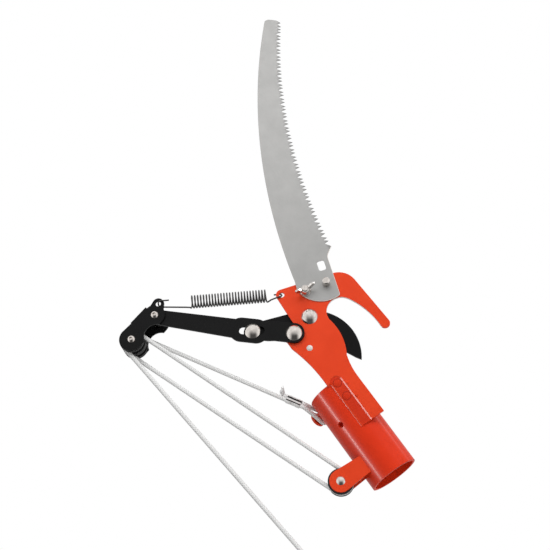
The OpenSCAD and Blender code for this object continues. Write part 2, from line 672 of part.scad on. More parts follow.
// Return spring from the plate's ear to the bracket: the coils turn off to a straight leg and a slanting hook
// at each end
spring_run = norm(spring_at - ear_at);
spring_dir = unit(spring_at - ear_at);
spring_y = plate_front - face_gap;
coil_start = 14.2;
coil_end_gap = 30;
coil_end = spring_run - coil_end_gap;
coil_r = (coil_d - wire_d) / 2;
coil_rings = 8;
wire_sides = 6;
turn_steps = 3;
hook_leg = [5, 8];
hook_side = 2.2;
hook_steps = 6;
near_rings = 5;
ear_bend = plate_t / 2 + wire_d;
ear_mid = (plate_front + plate_back) / 2;
cheek_bend = cheek_t / 2 + wire_d;
cheek_mid = lever_front - cheek_t / 2;
ear_leg_y = ear_mid - ear_bend;
cheek_leg_y = cheek_mid + cheek_bend;
leg_len = 4;
leg_from = coil_end + leg_len;
function on_spring(s, side, y) = let (p = ear_at + s * spring_dir + side * turn(spring_dir, 90)) [p.x, y, p.y];
function coil(s, a) = on_spring(s, coil_r * cos(a), spring_y + coil_r * sin(a));
function turn_off(s, dir, leg_y) = [for (i = [1:turn_steps]) let (a = 90 * i / turn_steps)
    on_spring(s + dir * abs(leg_y - spring_y) * (1 - cos(a)), coil_r, spring_y + (leg_y - spring_y) * sin(a))];
function leg_side(s) = coil_r + (hook_side - coil_r) * (s - coil_end) / (spring_run - cheek_bend - coil_end);
function bend(s, y, r, dir) = [for (i = [0:hook_steps]) let (a = 180 * i / hook_steps)
    on_spring(s + dir * r * sin(a), hook_side * cos(a), y + dir * r * cos(a))];
function reversed(list) = [for (i = [len(list) - 1:-1:0]) list[i]];
coil_points = [for (i = [0:coil_turns * coil_rings])
    coil(coil_start + (coil_end - coil_start) * i / (coil_turns * coil_rings), 360 * i / coil_rings)];
spring_route = concat(
    [on_spring(ear_bend + hook_leg[0], -hook_side, ear_mid + ear_bend)],
    reversed(bend(ear_bend, ear_mid, ear_bend, -1)),
    reversed(turn_off(coil_start, -1, ear_leg_y)),
    coil_points,
    turn_off(coil_end, 1, cheek_leg_y),
    [on_spring(leg_from, leg_side(leg_from), cheek_leg_y)]);
hook_route = concat(
    [on_spring(leg_from, leg_side(leg_from), cheek_leg_y)],
    bend(spring_run - cheek_bend, cheek_mid, cheek_bend, 1),
    [on_spring(spring_run - cheek_bend - hook_leg[1], -hook_side, cheek_mid - cheek_bend)]);
spring_self_gap = min([for (i = [0:len(spring_route) - near_rings - 1])
    min([for (j = [i + near_rings:len(spring_route) - 1]) norm(spring_route[i] - spring_route[j])])]) - wire_d;
echo(spring_self_gap = spring_self_gap);
module return_spring() color(bright_steel) tube(spring_route, wire_d, wire_sides);
module spring_hook() color(bright_steel) tube(hook_route, wire_d, wire_sides);

// Rope stud on the back of the socket, the loop round it and the crimp that closes the loop
stud_side = 140;
rope_stud_drop = 10;
rope_stud_z = socket_len - rope_stud_drop;
rope_stud_d = 9;
rope_stud_head = [14, 2];
rope_stud_play = 3.4;
rope_stud_len = rope_d + rope_stud_play;
stud_out = [cos(stud_side), sin(stud_side), 0];
module rope_stud() color(red_paint) difference() {
    translate([0, 0, rope_stud_z]) rotate([0, 90, stud_side]) {
        cylinder(h = socket_r + rope_stud_len + rope_stud_head[1], d = rope_stud_d);
        translate([0, 0, socket_r + rope_stud_len]) cylinder(h = rope_stud_head[1], d = rope_stud_head[0]);
    }
    translate([0, 0, -over]) cylinder(h = 2 * socket_len, r = socket_r + weld_gap);
}
rope_sides = 8;
crimp_wall = 0.7;
loop_centre = stud_out * (socket_r + rope_stud_len / 2) + [0, 0, rope_stud_z];
crimp_step = [-10.2, -15, 16];
crimp_low = loop_centre + crimp_step;
rear_rope_y = rear_wheel_y + wheel_w / 2;
front_rope_y = front_wheel_y + wheel_w / 2;
function flat(p) = [p.x, p.z];
function on_wheel(p, y, a) = [p.x + rope_track_r * cos(a), y, p.y + rope_track_r * sin(a)];
function to_rear_wheel(p) = tangent_normal(axle_at, rope_track_r, flat(p), 0);
crimp_axis = unit(on_wheel(axle_at, rear_rope_y, to_rear_wheel(crimp_low)) - crimp_low);
crimp_high = crimp_low + crimp_len * crimp_axis;
loop_r = rope_stud_d / 2 + rope_d / 2 + wheel_gap;
loop_neck = crimp_low - rope_d * crimp_axis;
loop_out = unit(loop_neck - loop_centre);
loop_side = unit(cross(stud_out, loop_out));
crimp_side = unit(loop_side - (loop_side * crimp_axis) * crimp_axis);
leg_gap = rope_d / 2 + run_fit;
leg_share = 0.45;
loop_steps = 8;
function loop_leg(s) = [crimp_low + s * leg_gap * crimp_side, loop_neck + s * leg_gap * crimp_side,
    loop_centre + leg_share * (loop_neck - loop_centre) + s * (loop_r + leg_gap) / 2 * loop_side];
loop_route = concat(loop_leg(1),
    [for (i = [0:loop_steps]) let (a = 180 * i / loop_steps)
        loop_centre + loop_r * (cos(a) * loop_side - sin(a) * loop_out)],
    reversed(loop_leg(-1)));
rope_tail = [4, 9];
rope_tail_out = 3;
tail_from = crimp_high + leg_gap * crimp_side;
module rope_loop() color(white_rope) {
    tube(loop_route, rope_d, rope_sides);
    tube([tail_from, tail_from + rope_tail[0] * crimp_axis,
        tail_from + rope_tail[1] * crimp_axis + rope_tail_out * crimp_side], rope_d, rope_sides);
}
crimp_tilt = [0, acos(crimp_axis.z), atan2(crimp_axis.y, crimp_axis.x)];
crimp_y = [-sin(crimp_tilt.z), cos(crimp_tilt.z), 0];
crimp_roll = atan2(crimp_side * crimp_y, crimp_side * cross(crimp_y, crimp_axis));
module rope_crimp() color(bright_steel) translate(crimp_low) rotate(crimp_tilt) rotate(crimp_roll)
    linear_extrude(crimp_len)
        link([-leg_gap, 0], rope_d / 2 + crimp_wall, [leg_gap, 0], rope_d / 2 + crimp_wall);

// Rope: strand A from the crimp to the rear wheel, C down to the lower wheel, B up to the front wheel,
// then the pull line; all are tangents of the wheels, and stop just short of the turn on the lower wheel
pull_step = [-81.3, -24];
pull_foot = [pull_step.x - socket_r, pull_step.y];
crimp_mouth = crimp_high - leg_gap * crimp_side + face_gap * crimp_axis;
down = heading(lower_at - axle_at);
pull_normal = 2 * heading(pull_foot - axle_at) - tangent_normal(axle_at, rope_track_r, pull_foot, 0);
function short_of(ends) = [ends[0], ends[1] - face_gap * unit(ends[1] - ends[0])];
strand_a = [on_wheel(axle_at, rear_rope_y, to_rear_wheel(crimp_mouth)), crimp_mouth];
strand_b = short_of([on_wheel(axle_at, front_rope_y, down + 90), on_wheel(lower_at, lower_y, down + 90)]);
strand_c = short_of([on_wheel(axle_at, rear_rope_y, down + 270), on_wheel(lower_at, lower_y, down + 270)]);
pull_run = [on_wheel(axle_at, front_rope_y, pull_normal), [pull_foot.x, front_rope_y, pull_foot.y]];
strand_steps = [10, 14, 14, 16];
wrap_rear = [to_rear_wheel(crimp_mouth), down + 270];
wrap_front = [down + 90, pull_normal + 360];
wrap_lower = [down + 270, down + 450];
module wrap(p, y, span) translate([p.x, y, p.y]) rotate([90, 0, 0]) rotate(span[0])
    rotate_extrude(angle = span[1] - span[0]) translate([rope_track_r, 0]) circle(d = rope_d);
module strand(ends, steps) color(white_rope)
    tube([for (i = [0:steps]) ends[0] + (ends[1] - ends[0]) * i / steps], rope_d, rope_sides);
module rope_strand_a() strand(strand_a, strand_steps[0]);
module rope_strand_b() strand(strand_b, strand_steps[1]);
module rope_strand_c() strand(strand_c, strand_steps[2]);
module pull_line() strand(pull_run, strand_steps[3]);
module rope_wrap_front() color(white_rope) wrap(axle_at, front_rope_y, wrap_front);
module rope_wrap_rear() color(white_rope) wrap(axle_at, rear_rope_y, wrap_rear);
module rope_wrap_lower() color(white_rope) wrap(lower_at, lower_y, wrap_lower);

// Knot and hand loop at the end of the pull line, below the socket
knot_len = 14;
knot_d = [8.4, 12];
knot_steps = 8;
line_dir = unit(pull_run[1] - pull_run[0]);
line_side = unit(cross(line_dir, [0, 1, 0]));
knot_end = pull_run[1] + knot_len * line_dir;
module pull_knot() color(white_rope) translate(pull_run[1])
    rotate([0, acos(line_dir.z), atan2(line_dir.y, line_dir.x)]) rotate_extrude()
        polygon(concat([[0, 0]], [for (i = [0:knot_steps])
            [(knot_d[0] + (knot_d[1] - knot_d[0]) * sin(180 * i / knot_steps)) / 2, knot_len * i / knot_steps]],
            [[0, knot_len]]));
hand_loop_len = 52;
hand_loop_r = 13;
hand_spread = 107;
hand_steps = 12;
hand_centre = knot_end + (hand_loop_len - hand_loop_r) * line_dir;
function hand_leg(s) = [for (m = [0, rope_d]) knot_end + s * leg_gap * line_side + m * line_dir];
hand_route = concat(hand_leg(-1),
    [for (i = [0:hand_steps]) let (a = hand_spread * (2 * i / hand_steps - 1))
        hand_centre + hand_loop_r * (cos(a) * line_dir + sin(a) * line_side)],
    reversed(hand_leg(1)));
module hand_loop() color(white_rope) tube(hand_route, rope_d, rope_sides);

hook_plate();
pole_socket();
tail_rivets();
pivot_rivet();
pivot_washer();
lever_rivet();
stop_pin();
saw_blade();
saw_bolt();
saw_washer();
wing_nut();
saw_stud();
cutting_blade();
drive_rivet();
lever_arm();
pulley_bracket();
bracket_screw();
bracket_spacer();
axle_screw();
clamp_nuts();
front_pulley();
rear_pulley();
lower_bracket();
lower_axle();
lower_pulley();
return_spring();
spring_hook();
rope_stud();
rope_crimp();
rope_loop();
rope_strand_a();
rope_strand_b();
rope_strand_c();
rope_wrap_front();
rope_wrap_rear();
rope_wrap_lower();
pull_line();
pull_knot();
hand_loop();
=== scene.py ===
"""Looks of a rope-driven tree pruner head: plate, socket, blade, lever, saw, spring and rope."""

import json
import logging
import math
from dataclasses import dataclass, field
from enum import Enum
from typing import Any, Callable, Optional, Sequence

import bmesh
import bpy
from mathutils import Matrix, Vector

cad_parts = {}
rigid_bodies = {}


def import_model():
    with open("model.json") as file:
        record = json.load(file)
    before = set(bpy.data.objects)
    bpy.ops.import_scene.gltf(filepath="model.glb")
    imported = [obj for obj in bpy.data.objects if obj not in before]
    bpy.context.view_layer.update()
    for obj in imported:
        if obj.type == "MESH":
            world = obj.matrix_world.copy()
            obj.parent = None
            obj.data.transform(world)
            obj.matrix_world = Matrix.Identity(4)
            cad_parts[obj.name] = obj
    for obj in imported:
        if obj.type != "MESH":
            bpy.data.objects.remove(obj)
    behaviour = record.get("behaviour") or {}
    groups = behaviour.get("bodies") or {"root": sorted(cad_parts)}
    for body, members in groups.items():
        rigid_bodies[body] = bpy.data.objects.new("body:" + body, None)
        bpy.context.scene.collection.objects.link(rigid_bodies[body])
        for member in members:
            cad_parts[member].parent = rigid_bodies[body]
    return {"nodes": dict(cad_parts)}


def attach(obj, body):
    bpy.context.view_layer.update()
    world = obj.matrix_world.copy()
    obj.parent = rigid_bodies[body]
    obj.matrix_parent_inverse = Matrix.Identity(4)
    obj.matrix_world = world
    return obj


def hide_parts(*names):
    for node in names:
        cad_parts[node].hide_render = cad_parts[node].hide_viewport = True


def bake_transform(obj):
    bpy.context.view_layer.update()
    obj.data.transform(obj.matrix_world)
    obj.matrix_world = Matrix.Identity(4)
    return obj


logging.basicConfig(level=logging.INFO, format="%(message)s")
LOG = logging.getLogger("pruner_head")

Pair = tuple[float, float]
Triple = tuple[float, float, float]
Test = Callable[[bmesh.types.BMEdge], bool]

MM = 0.001
# The crimp's folds: where each runs round the sleeve, and how far it reaches, in turns. The sleeve dips in
# along them, and its material paints near-black shade there
FOLDS = ((0.165, 0.042), (0.257, 0.022), (0.665, 0.042), (0.757, 0.022))
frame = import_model()


class Body(str, Enum):
    """The rigid bodies that pieces ride on."""

    HEAD = "head"
    LEVER = "lever"
    BLADE = "blade"
    SPRING = "spring"
    SPRING_END = "spring_end"
    PULL_ROPE = "pull_rope"
    WING = "clamp_wing"


class Slot(str, Enum):
    """The record's material slots that new pieces use."""

    RED = "red_paint"
    BLACK = "black_paint"
    BRIGHT = "bright_steel"
    SAW = "saw_steel"
    ROPE = "white_rope"
    CRIMP = "dark_crimp"


def mm(x: float, y: float, z: float) -> Vector:
    """A point given in millimetres, in metres."""
    return Vector((x, y, z)) * MM


def steps(first: float, last: float, count: int) -> list[float]:
    """Numbers from the first to the last, in a count of equal steps."""
    return [first + (last - first) * i / count for i in range(count + 1)]


def turned(angle: float, first: Vector, second: Vector) -> Vector:
    """The direction at an angle from the first direction towards the second."""
    return math.cos(angle) * first + math.sin(angle) * second


# Shader expressions


class Value:
    """A socket in a shader tree, with arithmetic that adds Math nodes."""

    def __init__(self, graph: "Graph", source: bpy.types.NodeSocket) -> None:
        """Keeps the graph and the socket."""
        self.graph = graph
        self.source = source

    def _math(self, operation: str, *operands: Any) -> "Value":
        """The result of a new Math node on its operands, which are values or numbers."""
        node = self.graph.node("ShaderNodeMath", {"operation": operation}, dict(enumerate(operands)))
        return Value(self.graph, node.outputs[0])

    def __add__(self, other: Any) -> "Value":
        """self + other."""
        return self._math("ADD", self, other)

    def __radd__(self, other: Any) -> "Value":
        """other + self."""
        return self._math("ADD", other, self)

    def __sub__(self, other: Any) -> "Value":
        """self - other."""
        return self._math("SUBTRACT", self, other)

    def __rsub__(self, other: Any) -> "Value":
        """other - self."""
        return self._math("SUBTRACT", other, self)

    def __mul__(self, other: Any) -> "Value":
        """self * other."""
        return self._math("MULTIPLY", self, other)

    def __rmul__(self, other: Any) -> "Value":
        """other * self."""
        return self._math("MULTIPLY", other, self)

    def sine(self) -> "Value":
        """Sine of the value in radians."""
        return self._math("SINE", self)

    def size(self) -> "Value":
        """Absolute value."""
        return self._math("ABSOLUTE", self)

    def root(self) -> "Value":
        """Square root."""
        return self._math("SQRT", self)

    def most(self, other: Any) -> "Value":
        """The larger of the two."""
        return self._math("MAXIMUM", self, other)

    def sway(self, amount: float) -> "Value":
        """A value from 0 to 1 as a swing of an amount about zero."""
        return (self - 0.5) * amount

    def ramp(self, low: float, high: float) -> "Value":
        """A smooth step from 0 at low to 1 at high."""
        node = self.graph.node("ShaderNodeMapRange", {"interpolation_type": "SMOOTHSTEP", "clamp": True},
                               {"Value": self.source, "From Min": low, "From Max": high})
        return Value(self.graph, node.outputs[0])


class Graph:
    """The node tree of a material or of the world."""

    def __init__(self, name: str) -> None:
        """Starts a material with a Principled shader.

        Args:
            name: The material's name.
        """
        self.material = bpy.data.materials.new(name)
        self.material.use_nodes = True
        self.tree = self.material.node_tree
        self.shader = next(n for n in self.tree.nodes if n.type == "BSDF_PRINCIPLED")

    @classmethod
    def of_tree(cls, tree: bpy.types.NodeTree) -> "Graph":
        """A graph on a tree that exists already, such as the world's.

        Args:
            tree: The node tree.

        Returns:
            The graph, which has no material of its own.
        """
        graph = cls.__new__(cls)
        graph.tree = tree
        return graph

    def node(self, kind: str, settings: Optional[dict] = None,
             inputs: Optional[dict] = None) -> bpy.types.Node:
        """Adds a node, sets its settings, then its sockets.

        Args:
            kind: The node's type.
            settings: Properties of the node.
            inputs: Socket name, identifier or number to a value, a socket or a Value.

        Returns:
            The node.
        """
        node = self.tree.nodes.new(kind)
        for key, value in (settings or {}).items():
            setattr(node, key, value)
        for key, value in (inputs or {}).items():
            socket = node.inputs[key] if isinstance(key, int) else next(
                s for s in node.inputs if s.identifier == key or s.name == key)
            self.feed(socket, value)
        return node

    def feed(self, socket: bpy.types.NodeSocket, value: Any) -> None:
        """Links a socket or sets a constant on it.

        Args:
            socket: The socket.
            value: A Value, another socket, a number, a vector or a colour.
        """
        value = value.source if isinstance(value, Value) else value
        if isinstance(value, bpy.types.NodeSocket):
            self.tree.links.new(value, socket)
        elif socket.type == "RGBA" and len(value) == 3:
            socket.default_value = (*value, 1.0)
        else:
            socket.default_value = value

    def place(self) -> bpy.types.NodeSocket:
        """The piece's object coordinates."""
        return self.node("ShaderNodeTexCoord").outputs["Object"]

    def parts(self, vector: bpy.types.NodeSocket) -> list[Value]:
        """A vector's three parts."""
        node = self.node("ShaderNodeSeparateXYZ", None, {0: vector})
        return [Value(self, part) for part in node.outputs]

    def radius(self, vector: bpy.types.NodeSocket, x: float, z: float) -> Value:
        """The distance of a place from an axis along Y.

        Args:
            vector: The place.
            x: The axis's x.
            z: The axis's z.

        Returns:
            The distance.
        """
        parts = self.parts(vector)
        across, up = parts[0] - x, parts[2] - z
        return (across * across + up * up).root()

    def along(self) -> list[Value]:
        """The piece's own UV map: metres along the piece, and turns round it."""
        return self.parts(self.node("ShaderNodeUVMap", {"uv_map": "UVMap"}).outputs[0])[:2]

    def noise(self, vector: Any, scale: float, detail: float = 3.0, rough: float = 0.55) -> Value:
        """A noise texture from 0 to 1."""
        node = self.node("ShaderNodeTexNoise", None,
                         {"Vector": vector, "Scale": scale, "Detail": detail, "Roughness": rough})
        return Value(self, node.outputs[0])

    def stretch(self, vector: Any, scale: Triple, turn: Triple) -> bpy.types.NodeSocket:
        """Object coordinates turned and stretched by a Mapping node."""
        return self.node("ShaderNodeMapping", None,
                         {"Vector": vector, "Rotation": turn, "Scale": scale}).outputs[0]

    def blend(self, share: Any, first: Any, second: Any) -> bpy.types.NodeSocket:
        """A colour between two colours."""
        return self.node("ShaderNodeMix", {"data_type": "RGBA"},
                         {"Factor_Float": share, "A_Color": first, "B_Color": second}).outputs[2]

    def bump(self, height: Any, strength: float, distance: float) -> bpy.types.NodeSocket:
        """A bump from a height, in metres."""
        return self.node("ShaderNodeBump", None,
                         {"Strength": strength, "Distance": distance, "Height": height}).outputs[0]

    def finish(self, **sockets: Any) -> bpy.types.Material:
        """Sets the shader's sockets.

        Args:
            sockets: What each socket gets, by its name with _ for a space.

        Returns:
            The material.
        """
        for key, value in sockets.items():
            self.feed(self.shader.inputs[key.replace("_", " ")], value)
        return self.material


# Finishes


@dataclass(frozen=True)
class PowderCoat:
    """Baked paint on sheet steel, with a fine orange-peel skin and a little unevenness."""

    name: str
    colour: Triple
    deep: Triple
    roughness: float = 0.4
    specular: float = 0.14
    coat: float = 0.1
    coat_roughness: float = 0.2
    cloud_scale: float = 38.0
    cloud_span: Pair = (0.3, 0.72)
    cloud_rough: float = 0.14
    skin_scale: float = 1500.0
    skin_rough: float = 0.06
    peel: float = 0.000002
    dust: float = 0.0
    dust_scale: float = 620.0
    dust_span: Pair = (0.66, 0.74)
    dust_colour: Triple = (0.5, 0.48, 0.46)
    # Painted shade: rings round rivet heads, where shade falls in the crevice about each head.
    shade_rings: tuple[Triple, ...] = ()
    shade_ring_width: float = 0.0007
    shade_ring_share: float = 0.6
    shade_ring_colour: Triple = (0.16, 0.008, 0.003)

    def make(self) -> bpy.types.Material:
        """Builds the material, with painted shade in round rings about rivet heads, which are given by x, z
        and radius.

        Returns:
            The material.
        """
        g = Graph(self.name)
        vector = g.place()
        cloud = g.noise(vector, self.cloud_scale, detail=4.0)
        skin = g.noise(vector, self.skin_scale, detail=2.0)
        speck = g.noise(vector, self.dust_scale).ramp(*self.dust_span)
        tone = g.blend(cloud.ramp(*self.cloud_span), self.deep, self.colour)
        tone = g.blend(speck * self.dust, tone, self.dust_colour)
        # Painted shade: a ring round each rivet head blends towards the shade colour.
        for x, z, radius in self.shade_rings:
            off = (g.radius(vector, x, z) - radius).size()
            tone = g.blend((1.0 - off.ramp(0.0, self.shade_ring_width)) * self.shade_ring_share, tone, self.shade_ring_colour)
        rough = self.roughness + cloud.sway(self.cloud_rough) + skin.sway(self.skin_rough)
        return g.finish(Base_Color=tone, Roughness=rough, Specular_IOR_Level=self.specular,
                        Coat_Weight=self.coat, Coat_Roughness=self.coat_roughness,
                        Normal=g.bump(skin, strength=0.5, distance=self.peel))


@dataclass(frozen=True)
class PlatedSteel:
    """Bright plated steel with faint turning marks and dull patches."""

    name: str
    colour: Triple = (0.84, 0.79, 0.74)
    dull: Triple = (0.68, 0.63, 0.59)
    roughness: float = 0.11
    metal: float = 1.0
    patch_scale: float = 420.0
    patch_span: Pair = (0.35, 0.7)
    patch_rough: float = 0.08
    mark_scales: Triple = (500.0, 500.0, 4200.0)
    mark_turn: Triple = (0.3, 0.0, 0.7)
    mark_depth: float = 0.00003

    def make(self) -> bpy.types.Material:
        """Builds the material.

        Returns:
            The material.
        """
        g = Graph(self.name)
        vector = g.place()
        patch = g.noise(vector, self.patch_scale, detail=4.0)
        mark = g.noise(g.stretch(vector, self.mark_scales, self.mark_turn), 1.0, detail=2.0)
        tone = g.blend(patch.ramp(*self.patch_span), self.dull, self.colour)
        return g.finish(Base_Color=tone, Metallic=self.metal,
                        Roughness=self.roughness + patch.sway(self.patch_rough),
                        Normal=g.bump(mark, strength=0.12, distance=self.mark_depth))


@dataclass(frozen=True)
class SawSteel:
    """Satin grey saw steel: grinding grain along the blade, darker ground teeth, and painted shade darker
    towards the heel.
    """

    name: str
    colour: Triple = (0.505, 0.5, 0.49)
    shade: Triple = (0.45, 0.446, 0.437)
    cloud_scale: float = 55.0
    cloud_span: Pair = (0.28, 0.7)
    metal: float = 0.55
    roughness: float = 0.46
    grain_scales: Triple = (2600.0, 2600.0, 260.0)
    grain_turn: Triple = (0.0, -0.42, 0.0)
    grain_span: Pair = (0.3, 0.75)
    grain_share: float = 0.22
    grain_colour: Triple = (0.6, 0.6, 0.59)
    grain_rough: float = 0.2
    grain_depth: float = 0.00003
    # Painted shade: the saw is darker towards the bottom of its heel.
    heel_shade_span: Pair = (0.17, 0.32)
    heel_shade_share: float = 0.3
    heel_shade_colour: Triple = (0.26, 0.26, 0.254)
    edge_centre: Pair = (0.6372, 0.0981)
    tooth_span: Pair = (0.5701, 0.5747)
    tooth_share: float = 0.85
    tooth_colour: Triple = (0.2, 0.2, 0.197)
    tooth_gloss: float = 0.1

    def make(self) -> bpy.types.Material:
        """Builds the material.

        Returns:
            The material.
        """
        g = Graph(self.name)
        vector = g.place()
        height = g.parts(vector)[2]
        tooth = 1.0 - g.radius(vector, *self.edge_centre).ramp(*self.tooth_span)
        cloud = g.noise(vector, self.cloud_scale, detail=5.0, rough=0.6)
        grain = g.noise(g.stretch(vector, self.grain_scales, self.grain_turn), 1.0)
        tone = g.blend(cloud.ramp(*self.cloud_span), self.shade, self.colour)
        tone = g.blend(grain.ramp(*self.grain_span) * self.grain_share, tone, self.grain_colour)
        # Painted shade: darker towards the heel, at the bottom of the saw.
        tone = g.blend((1.0 - height.ramp(*self.heel_shade_span)) * self.heel_shade_share, tone, self.heel_shade_colour)
        tone = g.blend(tooth * self.tooth_share, tone, self.tooth_colour)
        rough = self.roughness + grain.sway(self.grain_rough) - tooth * self.tooth_gloss
        return g.finish(Base_Color=tone, Metallic=self.metal, Roughness=rough,
                        Normal=g.bump(grain, strength=0.25, distance=self.grain_depth))


@dataclass(frozen=True)
class BraidedCord:
    """White braided cord: strands cross each other in a fine diamond pattern that follows the cord, with
    painted shade in the hollows between them.
    """

    name: str
    pitch: float = 0.0024
    strands: int = 4
    colour: Triple = (0.78, 0.78, 0.775)
    # Painted shade: a greyer tone in the hollows between the crossing strands.
    gap: Triple = (0.62, 0.62, 0.615)
    hollow_shade_span: Pair = (0.5, 0.98)
    yarn_laps: Pair = (5.0, 3.0)
    yarn_height: float = 0.12
    roughness: float = 0.86
    specular: float = 0.25
    relief: float = 0.00025

    def make(self) -> bpy.types.Material:
        """Builds the material.

        Returns:
            The material.
        """
        g = Graph(self.name)
        along, turns = g.along()
        step = along * (math.pi / self.pitch)
        lap = turns * (math.pi * self.strands)
        weave = (step + lap).sine().size().most((step - lap).sine().size())
        yarn = (step * self.yarn_laps[0] + lap * self.yarn_laps[1]).sine() * 0.5 + 0.5
        height = weave + yarn * self.yarn_height
        # The hollows of the weave take the painted shade.
        return g.finish(Base_Color=g.blend(height.ramp(*self.hollow_shade_span), self.gap, self.colour),
                        Roughness=self.roughness, Specular_IOR_Level=self.specular,
                        Normal=g.bump(height, strength=0.5, distance=self.relief))


@dataclass(frozen=True)
class CrimpedSleeve:
    """Bright pressed sleeve, with near-black painted shade in the folds that run along it."""

    name: str
    colour: Triple = (0.84, 0.84, 0.83)
    dull: Triple = (0.74, 0.74, 0.73)
    # Painted shade: near black along the folds, where shade falls between the pressed lobes.
    fold_shade_colour: Triple = (0.012, 0.012, 0.012)
    fold_shade_core: float = 0.7
    fold_rough: float = 0.3
    patch_scale: float = 600.0
    patch_span: Pair = (0.3, 0.7)
    patch_rough: float = 0.15
    roughness: float = 0.32
    metal: float = 0.25

    def make(self) -> bpy.types.Material:
        """Builds the material.

        Returns:
            The material.
        """
        g = Graph(self.name)
        _, turns = g.along()
        # Painted shade along the folds: the mask that takes the sleeve towards near black.
        fold_shade = None
        for place, reach in FOLDS:
            near = 1.0 - (turns - place).size().ramp(reach * self.fold_shade_core, reach)
            fold_shade = near if fold_shade is None else fold_shade.most(near)
        patch = g.noise(g.place(), self.patch_scale, detail=4.0)
        tone = g.blend(patch.ramp(*self.patch_span), self.dull, self.colour)
        rough = self.roughness + patch.sway(self.patch_rough) + fold_shade * self.fold_rough
        return g.finish(Base_Color=g.blend(fold_shade, tone, self.fold_shade_colour), Metallic=self.metal - fold_shade * self.metal,
                        Roughness=rough)


@dataclass(frozen=True)
class MouldedNylon:
    """Black moulded nylon with a fine matt skin."""

    name: str
    colour: Triple = (0.012, 0.012, 0.0125)
    worn: Triple = (0.03, 0.03, 0.031)
    cloud_scale: float = 160.0
    cloud_span: Pair = (0.45, 0.75)
    skin_scale: float = 2200.0
    skin_rough: float = 0.2
    skin_depth: float = 0.00004
    roughness: float = 0.5
    specular: float = 0.4

    def make(self) -> bpy.types.Material:
        """Builds the material.

        Returns:
            The material.
        """
        g = Graph(self.name)
        vector = g.place()
        cloud = g.noise(vector, self.cloud_scale, detail=4.0)
        skin = g.noise(vector, self.skin_scale, detail=2.0)
        return g.finish(Base_Color=g.blend(cloud.ramp(*self.cloud_span), self.colour, self.worn),
                        Roughness=self.roughness + skin.sway(self.skin_rough),
                        Specular_IOR_Level=self.specular,
                        Normal=g.bump(skin, strength=0.3, distance=self.skin_depth))


class Finishes:
    """Every finish of the head, made once."""

    def __init__(self) -> None:
        """Makes the materials."""
        self.red = PowderCoat("red_powder_coat", (0.73, 0.054, 0.012), (0.68, 0.046, 0.009)).make()
        # A darker, less glossy copy of the red for the socket: lower specular, and a darker base as painted
        # shade.
        self.red_tube_shade = PowderCoat("red_tube_shade_coat", (0.69, 0.037, 0.0085), (0.645, 0.032, 0.007),
                                   specular=0.08).make()
        # A darker copy of the red, as painted shade on the pressed channel's floor and its rivets, with
        # painted shade rings round the rivet heads.
        self.red_channel_shade = PowderCoat("red_channel_shade_coat", (0.6, 0.034, 0.008), (0.54, 0.027, 0.006),
                                   specular=0.1,
                                   shade_rings=((0.0044, 0.0914, 0.0038), (0.0044, 0.077, 0.0038))).make()
        self.black = PowderCoat("black_coat", (0.0078, 0.0078, 0.008), (0.006, 0.006, 0.0062),
                                roughness=0.42, specular=0.12, coat=0.0, dust=0.015).make()
        self.blade = PowderCoat("blade_coat", (0.0065, 0.0063, 0.0068), (0.005, 0.005, 0.0052),
                                roughness=0.38, specular=0.1, coat=0.0, dust=0.02).make()
        self.bright = PlatedSteel("bright_plate").make()
        self.wire = PlatedSteel("spring_wire", (0.075, 0.074, 0.072), (0.045, 0.044, 0.043), 0.3, 0.35).make()
        self.bare = PlatedSteel("bare_cut_edge", (0.8, 0.78, 0.76), (0.68, 0.65, 0.62), 0.5, 0.25).make()
        # The saw's bare cut edge, painted very pale and warm: a painted highlight, and a painted reflection
        # of the red plate.
        self.saw_edge_highlight = PlatedSteel("saw_cut_edge_highlight", (0.98, 0.88, 0.8), (0.92, 0.82, 0.74), 0.5, 0.0).make()
        self.wing = PlatedSteel("wing_plate", (0.86, 0.83, 0.8), (0.66, 0.62, 0.59), 0.2).make()
        self.crimp = CrimpedSleeve("crimped_sleeve").make()
        self.saw = SawSteel("saw_steel_satin").make()
        self.rope = BraidedCord("white_braid").make()
        self.nylon = MouldedNylon("black_nylon").make()


# Mesh tools


